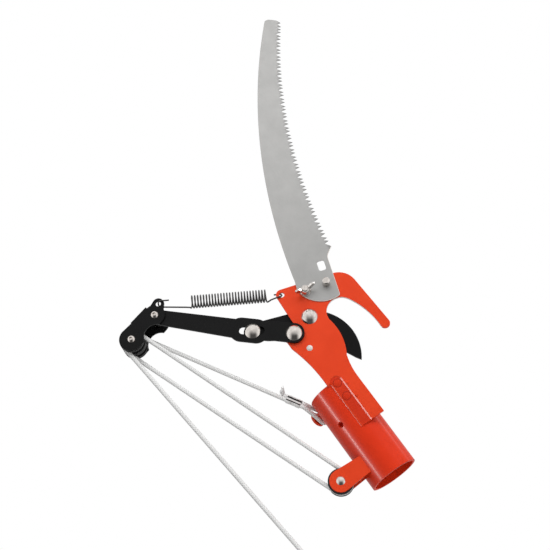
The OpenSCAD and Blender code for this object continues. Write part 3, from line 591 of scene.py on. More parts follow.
class Shaper:
    """Builds pieces with mesh operators and hands them over to a body. Its angles are in degrees."""

    weld: float = 0.002 * MM
    coplanar: float = 0.6
    crease: float = 32.0
    round_steps: int = 2
    soft_angle: float = 40.0
    flat_weight: int = 100

    def __init__(self, finishes: Finishes) -> None:
        """Keeps the finishes that pieces are dressed in."""
        self.finishes = finishes

    @staticmethod
    def frames(path: Sequence[Vector]) -> list[Matrix]:
        """Frames along a path that don't twist.

        Args:
            path: The points, in order.

        Returns:
            One matrix for each point, with its Z axis along the path.
        """
        last = len(path) - 1
        heads = [(path[min(i + 1, last)] - path[max(i - 1, 0)]).normalized() for i in range(len(path))]
        side = heads[0].orthogonal().normalized()
        result = []
        for point, head in zip(path, heads):
            side = (side - side.dot(head) * head).normalized()
            turn = Matrix((side, head.cross(side), head)).transposed().to_4x4()
            result.append(Matrix.Translation(point) @ turn)
        return result

    def sweep(self, name: str, path: Sequence[Vector], radius: float, sides: int,
              shape: Optional[Callable[[float], Vector]] = None,
              widths: Optional[Sequence[float]] = None, begin: float = 0.0) -> bpy.types.Object:
        """A ring extruded along a path, with capped ends and a UV map of metres along and turns round.

        Args:
            name: The piece's name.
            path: The points that the ring's centre follows.
            radius: The ring's radius.
            sides: The ring's number of sides.
            shape: The ring's corner in its own plane by its share of the turn, for a ring that isn't round.
            widths: A scale of the ring at each point.
            begin: How far along its rope the piece begins, for the UV map.

        Returns:
            The new object.
        """
        bm = bmesh.new()
        around = bm.verts.layers.float.new("around")
        reach = bm.verts.layers.float.new("reach")
        places = self.frames(path)
        if widths:
            places = [m @ Matrix.Scale(w, 4) for m, w in zip(places, widths)]
        ring = bmesh.ops.create_circle(bm, cap_ends=False, segments=sides, radius=radius)["verts"]
        for i, vert in enumerate(ring):
            vert[around], vert[reach] = i / sides, begin
            if shape:
                vert.co = shape(i / sides)
        edges = list({e for v in ring for e in v.link_edges})
        first = list(ring)
        bmesh.ops.transform(bm, matrix=places[0], verts=ring)
        length = begin
        for i in range(1, len(path)):
            length += (path[i] - path[i - 1]).length
            made = bmesh.ops.extrude_edge_only(bm, edges=edges)["geom"]
            ring = [g for g in made if isinstance(g, bmesh.types.BMVert)]
            fresh = set(ring)
            edges = [g for g in made if isinstance(g, bmesh.types.BMEdge) and set(g.verts) <= fresh]
            bmesh.ops.transform(bm, matrix=places[i] @ places[i - 1].inverted(), verts=ring)
            for vert in ring:
                vert[reach] = length
        uv = bm.loops.layers.uv.new("UVMap")
        for face in bm.faces:
            turns = [loop.vert[around] for loop in face.loops]
            wraps = max(turns) - min(turns) > 0.5
            for loop, turn in zip(face.loops, turns):
                loop[uv].uv = (loop.vert[reach], turn + 1.0 if wraps and turn < 0.5 else turn)
        for end in (first, ring):
            bmesh.ops.contextual_create(bm, geom=end)
        bmesh.ops.recalc_face_normals(bm, faces=bm.faces[:])
        return self.settle(bm, name, self.soft_angle)

    @staticmethod
    def settle(bm: bmesh.types.BMesh, name: str, sharp: float,
               *finishes: bpy.types.Material) -> bpy.types.Object:
        """Writes a bmesh to a new object at the origin, shaded smooth up to an angle.

        Args:
            bm: The mesh, which is freed.
            name: The object's name.
            sharp: The angle in degrees above which an edge stays sharp.
            finishes: Its finishes, by the number that its faces have, where it has some of its own.

        Returns:
            The object.
        """
        mesh = bpy.data.meshes.new(name)
        bm.to_mesh(mesh)
        bm.free()
        mesh.polygons.foreach_set("use_smooth", [True] * len(mesh.polygons))
        mesh.set_sharp_from_angle(angle=math.radians(sharp))
        for finish in finishes:
            mesh.materials.append(finish)
        piece = bpy.data.objects.new(name, mesh)
        bpy.context.scene.collection.objects.link(piece)
        return piece

    def even(self, piece: bpy.types.Object) -> bpy.types.Object:
        """Lets a piece's large faces rule its shading, so that flats stay flat beside their rounded edges.

        Args:
            piece: The piece.

        Returns:
            The same piece.
        """
        modifier = piece.modifiers.new("even_shading", "WEIGHTED_NORMAL")
        modifier.weight, modifier.keep_sharp = self.flat_weight, True
        return piece

    def merged(self, node: str) -> bmesh.types.BMesh:
        """A copy of a CAD node with its triangles merged into whole faces.

        Args:
            node: The CAD node.

        Returns:
            The copy.
        """
        bm = bmesh.new()
        bm.from_mesh(frame["nodes"][node].data)
        bmesh.ops.remove_doubles(bm, verts=bm.verts[:], dist=self.weld)
        bmesh.ops.dissolve_limit(bm, angle_limit=math.radians(self.coplanar), verts=bm.verts[:],
                                 edges=bm.edges[:])
        bmesh.ops.recalc_face_normals(bm, faces=bm.faces[:])
        return bm

    @staticmethod
    def bevel(bm: bmesh.types.BMesh, width: float, segments: int, crease: float,
              chosen: Optional[Test] = None) -> list[bmesh.types.BMFace]:
        """Rounds a mesh's sharp edges.

        Args:
            bm: The mesh.
            width: How far the rounding reaches, in metres.
            segments: Steps in the rounding.
            crease: The angle in degrees above which an edge is rounded.
            chosen: A test that narrows down the edges.

        Returns:
            The new faces.
        """
        limit = math.radians(crease)
        edges = [e for e in bm.edges if len(e.link_faces) == 2 and e.calc_face_angle(0.0) > limit
                 and (chosen is None or chosen(e))]
        made = bmesh.ops.bevel(bm, geom=edges, offset=width, offset_type="OFFSET", affect="EDGES",
                               segments=segments, profile=0.5, material=-1, clamp_overlap=True)
        return made["faces"]

    def softened(self, node: str, width: float) -> bmesh.types.BMesh:
        """A merged copy of a CAD node with its sharp edges rounded over.

        Args:
            node: The CAD node.
            width: How far the rounding reaches, in metres.

        Returns:
            The copy.
        """
        bm = self.merged(node)
        self.bevel(bm, width, self.round_steps, self.crease)
        return bm

    @staticmethod
    def dress(piece: bpy.types.Object, slot: Slot, material: bpy.types.Material, *nodes: str) -> None:
        """Gives a piece its finish unless it has one, and hides the CAD nodes that it replaces.

        Args:
            piece: The piece.
            slot: The record's material slot, not used.
            material: Its finish.
            nodes: The CAD nodes that it replaces.
        """
        if not piece.data.materials:
            piece.data.materials.append(material)
        if nodes:
            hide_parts(*nodes)

    def hand_over(self, piece: bpy.types.Object, body: Body, slot: Slot, material: bpy.types.Material,
                  *nodes: str) -> bpy.types.Object:
        """Dresses a piece and lets it ride on a body.

        Args:
            piece: The piece.
            body: The body that carries it.
            slot: The record's material slot.
            material: Its finish.
            nodes: The CAD nodes that it replaces.

        Returns:
            The piece.
        """
        self.dress(piece, slot, material, *nodes)
        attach(piece, body.value)
        LOG.info("%s rides on %s", piece.name, body.value)
        return piece


# Sub-assemblies


@dataclass
class SheetWork:
    """The painted and plated CAD pieces: rounded copies where an edge shows, and finishes on the rest."""

    shaper: Shaper
    rounding: float = 0.35 * MM
    sharp: float = 34.0
    # The plate, and the bare inner edge of its hook
    plate_crease: float = 56.0
    side_facing: float = 0.5
    hook_edge_centre: Vector = field(default_factory=lambda: mm(-5.5, 0, 117))
    hook_edge_radius: float = 73.5 * MM
    hook_edge_slack: float = 0.6 * MM
    hook_edge_left: float = 50.0 * MM
    throat_centre: Vector = field(default_factory=lambda: mm(47.3, 0, 145.1))
    throat_radius: float = 13.7 * MM
    throat_slack: float = 0.5 * MM
    throat_left: float = 33.0 * MM
    throat_low: float = 145.0 * MM
    # The pressed channel in the plate's tail
    channel_floor: float = -23.8 * MM
    floor_slack: float = 0.05 * MM
    floor_facing: float = 0.9
    tail_left: float = -1.3 * MM
    channel_centre: Vector = field(default_factory=lambda: mm(4.4, 0, 92.7))
    channel_radius: float = 5.7 * MM
    channel_depth: float = 0.9 * MM
    channel_lean: float = 0.84
    border_width: float = 1.45 * MM
    near: float = 0.03 * MM
    cut_slack: float = 0.0001 * MM
    # The socket, and the plate's corner on its rim
    socket_facing: float = 0.985
    socket_rim: float = 95.0 * MM
    rim_gap: float = 0.7 * MM
    rim_step: float = 3.2 * MM
    # The saw's teeth and heel
    saw_edge_centre: Vector = field(default_factory=lambda: mm(637.2, 0, 98.1))
    saw_root_radius: float = 574.4 * MM
    saw_grind: float = 0.42 * MM
    saw_crease: float = 57.0
    saw_sharp: float = 20.0
    saw_holes: tuple[Vector, ...] = (mm(31.5, 0, 180), mm(51.5, 0, 175), mm(58.2, 0, 192.4))
    saw_hole_reach: float = 7.0 * MM
    heel_top: float = 206.0 * MM
    heel_edge: float = 0.5 * MM
    heel_back: Vector = field(default_factory=lambda: Vector((-0.827, 0.0, 0.562)))
    heel_facing: float = 0.6
    level: float = 0.01 * MM

    def on_hook_edge(self, face: bmesh.types.BMFace) -> bool:
        """Tells the bare inner edge of the hook from the painted plate.

        Args:
            face: A face of the plate.

        Returns:
            Whether it is on that edge.
        """
        if abs(face.normal.y) > self.side_facing:
            return False
        centre = face.calc_center_median()
        flat = Vector((centre.x, 0, centre.z))
        long_edge = abs((flat - self.hook_edge_centre).length - self.hook_edge_radius) < self.hook_edge_slack
        throat = abs((flat - self.throat_centre).length - self.throat_radius) < self.throat_slack
        return (long_edge and centre.x > self.hook_edge_left
                or throat and centre.x > self.throat_left and centre.z > self.throat_low)

    def on_channel_floor(self, face: bmesh.types.BMFace) -> bool:
        """Whether a face is the floor of the pressed channel."""
        centre = face.calc_center_median()
        return (abs(centre.y - self.channel_floor) < self.floor_slack and face.normal.y < -self.floor_facing
                and centre.x < self.tail_left + 2 * self.channel_radius)

    def press(self, bm: bmesh.types.BMesh) -> None:
        """Slopes the pressed channel's wall and border, and sets the plate's corner on the socket's rim.

        Args:
            bm: The plate, with whole faces.
        """
        near = self.near
        right = self.tail_left + 2 * self.channel_radius
        top = self.channel_centre.z + 2 * self.channel_radius
        floor = [f for f in bm.faces if all(abs(v.co.y - self.channel_floor) < near for v in f.verts)
                 and f.calc_center_median().x < right]
        parts = {g for f in floor for g in (f, *f.edges, *f.verts)}
        bmesh.ops.bisect_plane(bm, geom=list(parts), dist=self.cut_slack, plane_no=(1, 0, 0),
                               plane_co=(self.tail_left + self.border_width, 0, 0))
        run = self.channel_depth / self.channel_lean
        for vert in bm.verts:
            place = Vector((vert.co.x, 0, vert.co.z))
            inward = self.channel_centre - place
            border = abs(place.x - self.tail_left) < near
            if place.x < self.tail_left + near and abs(place.z - self.socket_rim - self.rim_gap) < near:
                vert.co.z -= self.rim_gap if vert.co.y < self.channel_floor else self.rim_step
            elif abs(vert.co.y - self.channel_floor) > near or place.z > top:
                continue
            elif border:
                vert.co.y += self.border_width * self.channel_lean
            elif inward.z > -near and abs(place.x - right) < near:
                vert.co.x -= run
            elif inward.z < 0 and abs(inward.length - self.channel_radius) < near:
                share = min(1.0, (place.x - self.tail_left) / self.channel_radius)
                vert.co += inward.normalized() * run * share

    def plate(self) -> None:
        """The hook plate, with sloped channel walls, painted shade on the channel's floor and bare metal on
        the hook's inner edge.
        """
        f = self.shaper.finishes
        bm = self.shaper.merged("hook_plate")
        self.press(bm)
        self.shaper.bevel(bm, self.rounding, self.shaper.round_steps, self.plate_crease)
        for face in bm.faces:
            face.material_index = 1 if self.on_hook_edge(face) else 2 if self.on_channel_floor(face) else 0
        piece = self.shaper.settle(bm, "hook_plate_painted", self.sharp, f.red, f.bare, f.red_channel_shade)
        self.shaper.hand_over(self.shaper.even(piece), Body.HEAD, Slot.RED, f.red, "hook_plate")

    def socket(self) -> None:
        """The pole socket, shaded as a true cylinder outside and inside, in the darker red that paints shade
        on it.
        """
        bm = self.shaper.softened("pole_socket", self.rounding)
        piece = self.shaper.settle(bm, "pole_socket_painted", self.sharp)
        mesh = piece.data
        normals = [Vector(n.vector) for n in mesh.corner_normals]
        for face in mesh.polygons:
            radial = Vector((face.center.x, face.center.y, 0)).normalized()
            facing = face.normal.dot(radial)
            if abs(facing) < self.socket_facing:
                continue
            for corner in face.loop_indices:
                point = mesh.vertices[mesh.loops[corner].vertex_index].co
                normals[corner] = Vector((point.x, point.y, 0)).normalized() * math.copysign(1.0, facing)
        mesh.normals_split_custom_set([tuple(n) for n in normals])
        self.shaper.hand_over(piece, Body.HEAD, Slot.RED, self.shaper.finishes.red_tube_shade, "pole_socket")

    def rounded(self) -> None:
        """Rounded copies of the other sheet pieces."""
        f = self.shaper.finishes
        plan = [("lower_bracket", Body.HEAD, Slot.RED, f.red, 0.3),
                ("rope_stud", Body.HEAD, Slot.RED, f.red, 0.5),
                ("lever_arm", Body.LEVER, Slot.BLACK, f.black, 0.4),
                ("pulley_bracket", Body.LEVER, Slot.BLACK, f.black, 0.35),
                ("cutting_blade", Body.BLADE, Slot.BLACK, f.blade, 0.15),
                ("wing_nut", Body.WING, Slot.BRIGHT, f.wing, 0.4)]
        for node, body, slot, material, width in plan:
            piece = self.shaper.settle(self.shaper.softened(node, width * MM), node + "_rounded", self.sharp)
            self.shaper.hand_over(self.shaper.even(piece), body, slot, material, node)

    def in_saw_hole(self, edge: bmesh.types.BMEdge) -> bool:
        """Tells the saw's holes, where the side faces look inwards, from its outline.

        Args:
            edge: An edge of the saw.

        Returns:
            Whether it is on a hole.
        """
        side = min(edge.link_faces, key=lambda face: abs(face.normal.y))
        middle = (edge.verts[0].co + edge.verts[1].co) / 2
        return any((hole - middle).dot(side.normal) > 0 and (hole - middle).xz.length < self.saw_hole_reach
                   for hole in self.saw_holes)

    def saw(self) -> None:
        """The saw with its tooth flanks ground to an edge, and a cut edge round the heel in a painted
        highlight.
        """
        f = self.shaper.finishes
        bm = self.shaper.merged("saw_blade")
        front = min(v.co.y for v in bm.verts)

        def radius(vert: bmesh.types.BMVert) -> float:
            """A corner's distance from the centre of the toothed edge."""
            return (Vector((vert.co.x, 0, vert.co.z)) - self.saw_edge_centre).length

        def on_tooth(edge: bmesh.types.BMEdge) -> bool:
            """Whether an edge is on a tooth's outline, on either face of the saw."""
            return (abs(edge.verts[0].co.y - edge.verts[1].co.y) < self.level
                    and max(radius(v) for v in edge.verts) < self.saw_root_radius)

        def on_heel(edge: bmesh.types.BMEdge) -> bool:
            """Whether an edge is on the front outline of the heel, apart from the saw's back."""
            side = min(edge.link_faces, key=lambda face: abs(face.normal.y))
            return (all(abs(v.co.y - front) < self.level and v.co.z < self.heel_top for v in edge.verts)
                    and max(radius(v) for v in edge.verts) > self.saw_root_radius
                    and side.normal.dot(self.heel_back) < self.heel_facing and not self.in_saw_hole(edge))

        self.shaper.bevel(bm, self.saw_grind, 1, self.saw_crease, on_tooth)
        # The heel's front edge takes the painted-highlight finish.
        for face in self.shaper.bevel(bm, self.heel_edge, 1, self.saw_crease, on_heel):
            face.material_index = 1
        piece = self.shaper.settle(bm, "saw_ground", self.saw_sharp, f.saw, f.saw_edge_highlight)
        self.shaper.hand_over(self.shaper.even(piece), Body.HEAD, Slot.SAW, f.saw, "saw_blade")

    def dress(self) -> None:
        """Finishes on the CAD nodes that stay as they are."""
        f = self.shaper.finishes
        # The tail rivets sit in the channel and take its painted-shade red.
        special = {"tail_rivets": f.red_channel_shade, "stop_pin": f.bare}
        special.update(dict.fromkeys(("front_pulley", "rear_pulley", "lower_pulley"), f.nylon))
        for node, thing in frame["nodes"].items():
            thing.data.materials.clear()
            thing.data.materials.append(special.get(node, f.bright))

    def build(self) -> None:
        """Makes and dresses every rigid piece."""
        self.dress()
        self.plate()
        self.socket()
        self.rounded()
        self.saw()


@dataclass
class ReturnSpring:
    """The return spring: close coils with a hook at each end. Its sizes are in millimetres."""

    shaper: Shaper
    ear: Pair = (11.8, 190.3)
    heading: Pair = (-0.856466, 0.516188)
    run: float = 114.997
    wire_radius: float = 0.72
    coil_radius: float = 5.6
    lead: float = 1.05
    ear_leg: Pair = (10.0, 4.6)
    turns: int = 26
    coil_span: Pair = (14.2, 84.997)
    axis_y: float = -24.9
    ear_bend: Pair = (-23.45, 2.55)
    cheek_bend: Pair = (-26.2, 2.3)
    hook_legs: Pair = (5.0, 8.0)
    hook_side: float = 2.2
    leg_len: float = 4.0
    coil_steps: int = 20
    leg_steps: int = 6
    hook_steps: int = 12
    sides: int = 10

    def point(self, s: float, side: float, y: float) -> Vector:
        """A point by its distance along the spring, to its side, and its depth."""
        ux, uz = self.heading
        return mm(self.ear[0] + s * ux - side * uz, y, self.ear[1] + s * uz + side * ux)

    def turn_off(self, s: float, way: int) -> list[Vector]:
        """The quarter turn from the coils' end to a leg: way is 1 towards the bracket, -1 towards the ear."""
        return [self.point(s + way * self.lead * (1 - math.cos(a)), self.coil_radius,
                           self.axis_y - way * self.lead * math.sin(a))
                for a in steps(0.0, math.pi / 2, self.leg_steps)[1:]]

    def bend(self, s: float, y: float, r: float, way: int) -> list[Vector]:
        """The half circle of a hook, from the leg's side to its free end, aslant through its hole."""
        return [self.point(s + way * r * math.sin(a), self.hook_side * math.cos(a), y + way * r * math.cos(a))
                for a in steps(0.0, math.pi, self.hook_steps)]

    def build(self) -> None:
        """Makes the coils and the hook at the bracket."""
        start, end = self.coil_span
        count = self.turns * self.coil_steps
        coil = [self.point(s, self.coil_radius * math.cos(a), self.axis_y - self.coil_radius * math.sin(a))
                for s, a in zip(steps(start, end, count), steps(0.0, math.tau * self.turns, count))]
        ear_y, ear_r = self.ear_bend
        cheek_y, cheek_r = self.cheek_bend
        leg = end + self.leg_len
        share = self.leg_len / (self.run - cheek_r - end)
        depth = self.axis_y - self.lead
        join = self.point(leg, self.coil_radius + (self.hook_side - self.coil_radius) * share,
                          depth + (cheek_y + cheek_r - depth) * share)
        route = [self.point(ear_r + self.hook_legs[0], -self.hook_side, ear_y + ear_r)]
        route += self.bend(ear_r, ear_y, ear_r, -1)[::-1] + [self.point(*self.ear_leg, ear_y - ear_r)]
        route += self.turn_off(start, -1)[::-1] + coil + self.turn_off(end, 1) + [join]
        hook = [join] + self.bend(self.run - cheek_r, cheek_y, cheek_r, 1)
        hook += [self.point(self.run - cheek_r - self.hook_legs[1], -self.hook_side, cheek_y - cheek_r)]
        wire = self.shaper.finishes.wire
        coils = self.shaper.sweep("spring_coils", route, self.wire_radius * MM, self.sides)
        self.shaper.dress(coils, Slot.BRIGHT, wire, "return_spring")
        self.point(start, 0, self.axis_y)
        self.point(end, 0, self.axis_y)
        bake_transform(coils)
        LOG.info("spring_coils stretch between spring and spring_end")
        piece = self.shaper.sweep("spring_bracket_hook", hook, self.wire_radius * MM, self.sides)
        self.shaper.hand_over(piece, Body.SPRING_END, Slot.BRIGHT, wire, "spring_hook")


@dataclass
class RopeWork:
    """The rope: strands, turns on the wheels, anchor and pull line. Its sizes are in millimetres."""

    shaper: Shaper
    radius: float = 2.0
    sides: int = 14
    # Turns on the wheels
    track: float = 9.5
    axle: Pair = (-125.301, 234.811)
    lower: Pair = (-43.0, 20.0)
    front_y: float = -19.9
    rear_y: float = -9.6
    lower_y: float = -8.0
    front_span: Pair = (20.96, 186.85)
    rear_span: Pair = (31.41, 200.96)
    lower_span: Pair = (200.96, 380.96)
    wrap_step: float = 6.0
    # Strands between the head and the wheels
    strand_a: tuple[Triple, Triple] = ((-39.09, -0.26, 111.86), (-117.19, -9.6, 239.76))
    strand_b: tuple[Triple, Triple] = ((-34.13, -8.0, 23.4), (-116.43, -19.9, 238.21))
    strand_c: tuple[Triple, Triple] = ((-51.87, -8.0, 16.6), (-134.17, -9.6, 231.41))
    strand_cuts: tuple[float, ...] = (0.0, 0.02, 0.08, 0.25, 0.75, 0.92, 0.98, 1.0)
    strand_holds: tuple[Pair, ...] = ((0.018, 0.018), (0.045, 0.018), (0.018, 0.018))
    strand_step: float = 4.0
    strand_least: int = 4
    travel: Triple = (4.3, 0.0, -171.76)
    girth: float = 0.9
    # Loop round the stud
    stud_angle: float = 140.0
    stud_reach: float = 26.2
    stud_height: float = 85.0
    loop_radius: float = 6.8
    loop_waist: float = 0.45
    loop_steps: int = 8
    leg_gap: float = 2.05
    # Crimp
    crimp_low: Triple = (-30.27, 1.84, 101.0)
    crimp_way: Triple = (-0.52956, -0.06966, 0.84541)
    crimp_len: float = 14.0
    crimp_stops: tuple[Pair, ...] = ((0.0, 0.95), (0.35, 1.0), (4.4, 1.0), (4.8, 0.97),
                                     (9.2, 0.97), (9.6, 1.0), (13.65, 1.0), (14.0, 0.95))
    crimp_wall: float = 0.7
    crimp_flank: float = 4.0
    crimp_dip: float = 0.45
    crimp_sides: int = 96
    # Frayed end
    tail: Triple = (2.2, 3.6, 4.0)
    tail_lean: Pair = (0.2, 0.3)
    fray_radius: float = 1.6
    yarns: int = 27
    yarn_turn: float = 2.39996
    yarn_radius: float = 0.38
    yarn_sides: int = 5
    yarn_steps: int = 3
    yarn_taper: float = 0.5
    yarn_spread: Pair = (0.5, 1.1)
    yarn_bend: Pair = (3.7, 0.9)
    yarn_len: Pair = (4.4, 0.9)
    yarn_beat: float = 1.7
    yarn_rise: float = 1.6
    yarn_bow: float = 0.4
    # Pull line, knot and hand loop
    pull_run: tuple[Triple, Triple] = ((-134.73, -19.9, 233.68), (-103.8, -19.9, -24.0))
    pull_step: float = 8.0
    pull_least: int = 2
    knot_len: float = 14.0
    knot_radius: float = 3.9
    knot_turns: int = 3
    knot_steps: int = 24
    knot_margin: float = 0.12
    hand_len: float = 52.0
    hand_radius: float = 13.0
    hand_spread: float = 107.0
    hand_leg: float = 4.0
    hand_steps: int = 6

    @staticmethod
    def straight(a: Vector, b: Vector, step: float, least: int) -> list[Vector]:
        """Points about every step, in millimetres, on a straight run of a least number of steps."""
        count = max(least, round((b - a).length / (step * MM)))
        return [a.lerp(b, share) for share in steps(0.0, 1.0, count)]

    @staticmethod
    def smooth(points: Sequence[Vector], per: int = 6) -> list[Vector]:
        """A smooth curve through points.

        Args:
            points: The points to pass through.
            per: Steps between two points.

        Returns:
            The curve's points.
        """
        result = []
        for i in range(len(points) - 1):
            p0, p1 = points[max(i - 1, 0)], points[i]
            p2, p3 = points[i + 1], points[min(i + 2, len(points) - 1)]
            for k in range(per):
                t = k / per
                result.append(0.5 * (2 * p1 + (p2 - p0) * t + (2 * p0 - 5 * p1 + 4 * p2 - p3) * t * t
                                     + (3 * p1 - p0 - 3 * p2 + p3) * t ** 3))
        return result + [points[-1]]

    def tube(self, name: str, path: Sequence[Vector], begin: float = 0.0) -> bpy.types.Object:
        """A stretch of rope along a path, which may begin part of the way along the rope."""
        return self.shaper.sweep(name, path, self.radius * MM, self.sides, begin=begin)

    def lay(self, name: str, path: Sequence[Vector], body: Body, *nodes: str) -> bpy.types.Object:
        """A stretch of rope that rides on a body, and replaces CAD nodes."""
        rope = self.shaper.finishes.rope
        return self.shaper.hand_over(self.tube(name, path), body, Slot.ROPE, rope, *nodes)

    def wrap(self, centre: Pair, y: float, span: Pair) -> list[Vector]:
        """Points of the rope round a wheel at x and z, in a groove at y, over a span in degrees."""
        angles = map(math.radians, steps(*span, round((span[1] - span[0]) / self.wrap_step)))
        return [mm(centre[0] + self.track * math.cos(a), y, centre[1] + self.track * math.sin(a))
                for a in angles]

    @staticmethod
    def eased(share: float) -> float:
        """Where a smooth step from 0 to 1 reaches a share."""
        return 0.5 - math.sin(math.asin(1.0 - 2.0 * share) / 3.0)

    def slant(self, run: Vector) -> Vector:
        """How the blend of a strand leans, so that the strand keeps its girth while it turns.

        Args:
            run: The strand at rest, from its foot to its head.

        Returns:
            The change of the blend for each metre across the strand.
        """
        way, travel = run.normalized(), mm(*self.travel)
        across = travel - travel.dot(way) * way
        side, drawn = across.normalized(), (run + travel).normalized()
        along, aside = drawn.dot(way), drawn.dot(side)
        return side * self.girth * (along - 1.0) / (travel.dot(way) * aside - across.length * along)

    def strands(self) -> None:
        """The three strands that run taut between the head and the lever's pulleys.

        A strand is made in lengths along its straight run; its first and last few millimetres are lengths of
        their own.
        """
        runs = (self.strand_a, self.strand_b, self.strand_c)
        for name, ends, (held, kept) in zip("abc", runs, self.strand_holds):
            foot, head = mm(*ends[0]), mm(*ends[1])
            run, free = head - foot, 1.0 - held - kept
            rise = run / (run.length_squared * free) + self.slant(run)

            def on_strand(share: float) -> float:
                """Where on the strand a share of the travel is reached."""
                return held + share * free

            for i, (low, high) in enumerate(zip(self.strand_cuts, self.strand_cuts[1:]), 1):
                near = on_strand(low) if low > 0.0 else 0.0
                far = on_strand(high) if high < 1.0 else 1.0
                route = self.straight(foot.lerp(head, near), foot.lerp(head, far), self.strand_step,
                                      self.strand_least)
                piece = self.tube(f"strand_{name}_{i}", route, run.length * near)
                self.shaper.dress(piece, Slot.ROPE, self.shaper.finishes.rope, "rope_strand_" + name)
                first, last = self.eased(low), self.eased(high)
                span = (high - low) / (last - first)
                begin = low - first * span
                start = foot.lerp(head, on_strand(begin))
                start + rise * span / rise.length_squared
                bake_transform(piece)
            LOG.info("strand_%s runs between head and pull_rope", name)

    def wraps(self) -> None:
        """The turns of rope on the three wheels."""
        for name, centre, y, span, body in (
                ("rope_wrap_front", self.axle, self.front_y, self.front_span, Body.PULL_ROPE),
                ("rope_wrap_rear", self.axle, self.rear_y, self.rear_span, Body.PULL_ROPE),
                ("rope_wrap_lower", self.lower, self.lower_y, self.lower_span, Body.HEAD)):
            self.lay(name.replace("rope_", "braid_"), self.wrap(centre, y, span), body, name)

    def anchor(self) -> None:
        """The loop round the stud, the crimp and the frayed end of the rope."""
        angle = math.radians(self.stud_angle)
        out = Vector((math.cos(angle), math.sin(angle), 0))
        centre = out * self.stud_reach * MM + mm(0, 0, self.stud_height)
        low, way = mm(*self.crimp_low), Vector(self.crimp_way).normalized()
        high = low + way * self.crimp_len * MM
        neck = low - way * 2 * self.radius * MM
        reach = (neck - centre).normalized()
        side = out.cross(reach).normalized()
        flat = (side - side.dot(way) * way).normalized()
        gap, loop = self.leg_gap * MM, self.loop_radius * MM

        def leg(s: int) -> list[Vector]:
            """One leg of the loop, from the crimp to the stud."""
            return [low + s * gap * flat, neck + s * gap * flat,
                    centre + self.loop_waist * (neck - centre) + s * (loop + gap) / 2 * side]

        turn = [centre + loop * turned(a, side, -reach) for a in steps(0.0, math.pi, self.loop_steps)]
        self.lay("anchor_loop", self.smooth(leg(1) + turn + leg(-1)[::-1]), Body.HEAD, "rope_loop")
        start = high + gap * flat
        middle, root, end = (start + way * s * MM for s in self.tail)
        self.lay("rope_end", [start, middle, end + flat * self.tail_lean[1] * MM], Body.HEAD)
        self.fray(root + flat * self.tail_lean[0] * MM, way, flat)
        self.crimp(low, way, flat)

    def fray(self, root: Vector, way: Vector, side: Vector) -> None:
        """The loose yarns at the end of the rope.

        Args:
            root: Where the yarns start.
            way: The rope's direction there.
            side: The direction that they lean to.
        """
        third = way.cross(side)
        bend = (side - third).normalized()
        widths = steps(1.0, 1.0 - self.yarn_taper, 2 * self.yarn_steps)
        yarns = []
        for i in range(self.yarns):
            a, r = i * self.yarn_turn, self.fray_radius * math.sqrt((i + 0.5) / self.yarns)
            spread = turned(a, side, third)
            foot = root + spread * r * MM
            lean = (spread * (self.yarn_spread[0] + r * self.yarn_spread[1]) * MM
                    + bend * (self.yarn_bend[0] + self.yarn_bend[1] * math.sin(i)) * MM)
            length = self.yarn_len[0] + self.yarn_len[1] * math.sin(i * self.yarn_beat)
            middle = foot + way * self.yarn_rise * MM + lean * self.yarn_bow
            path = self.smooth([foot, middle, foot + way * length * MM + lean], self.yarn_steps)
            yarns.append(self.shaper.sweep("rope_yarns", path, self.yarn_radius * MM, self.yarn_sides,
                                           widths=widths))
        tuft = yarns[0]
        with bpy.context.temp_override(active_object=tuft, selected_editable_objects=yarns):
            bpy.ops.object.join()
        self.shaper.hand_over(tuft, Body.HEAD, Slot.ROPE, self.shaper.finishes.rope)

    def crimp(self, low: Vector, way: Vector, flat: Vector) -> None:
        """The pressed sleeve on the loop's two legs, with its crimp marks.

        Args:
            low: Where the sleeve starts.
            way: Its direction.
            flat: The direction from one leg to the other.
        """
        gap, wall = self.leg_gap * MM, (self.radius + self.crimp_wall) * MM
        path = [low + way * s * MM for s, _ in self.crimp_stops]
        local = self.shaper.frames(path)[0].to_3x3().inverted() @ flat
        tilt = math.atan2(local.y, local.x)

        def folded(share: float) -> Vector:
            """The sleeve's outline: two round ends, and flat sides pressed in along the folds.

            Args:
                share: How far round the sleeve, in turns.

            Returns:
                The outline's corner there.
            """
            a = math.tau * share
            x = wall * math.cos(a) + gap * max(-1.0, min(1.0, self.crimp_flank * math.cos(a)))
            deep = max(max(1.0 - abs(share - place) / reach, 0.0) for place, reach in FOLDS)
            dip = self.crimp_dip * MM * deep
            point = Vector((x - dip * math.cos(a), (wall - dip) * math.sin(a), 0.0))
            return Matrix.Rotation(tilt, 3, "Z") @ point

        piece = self.shaper.sweep("crimp_sleeve", path, wall, self.crimp_sides, folded,
                                  [w for _, w in self.crimp_stops])
        self.shaper.hand_over(piece, Body.HEAD, Slot.CRIMP, self.shaper.finishes.crimp, "rope_crimp")

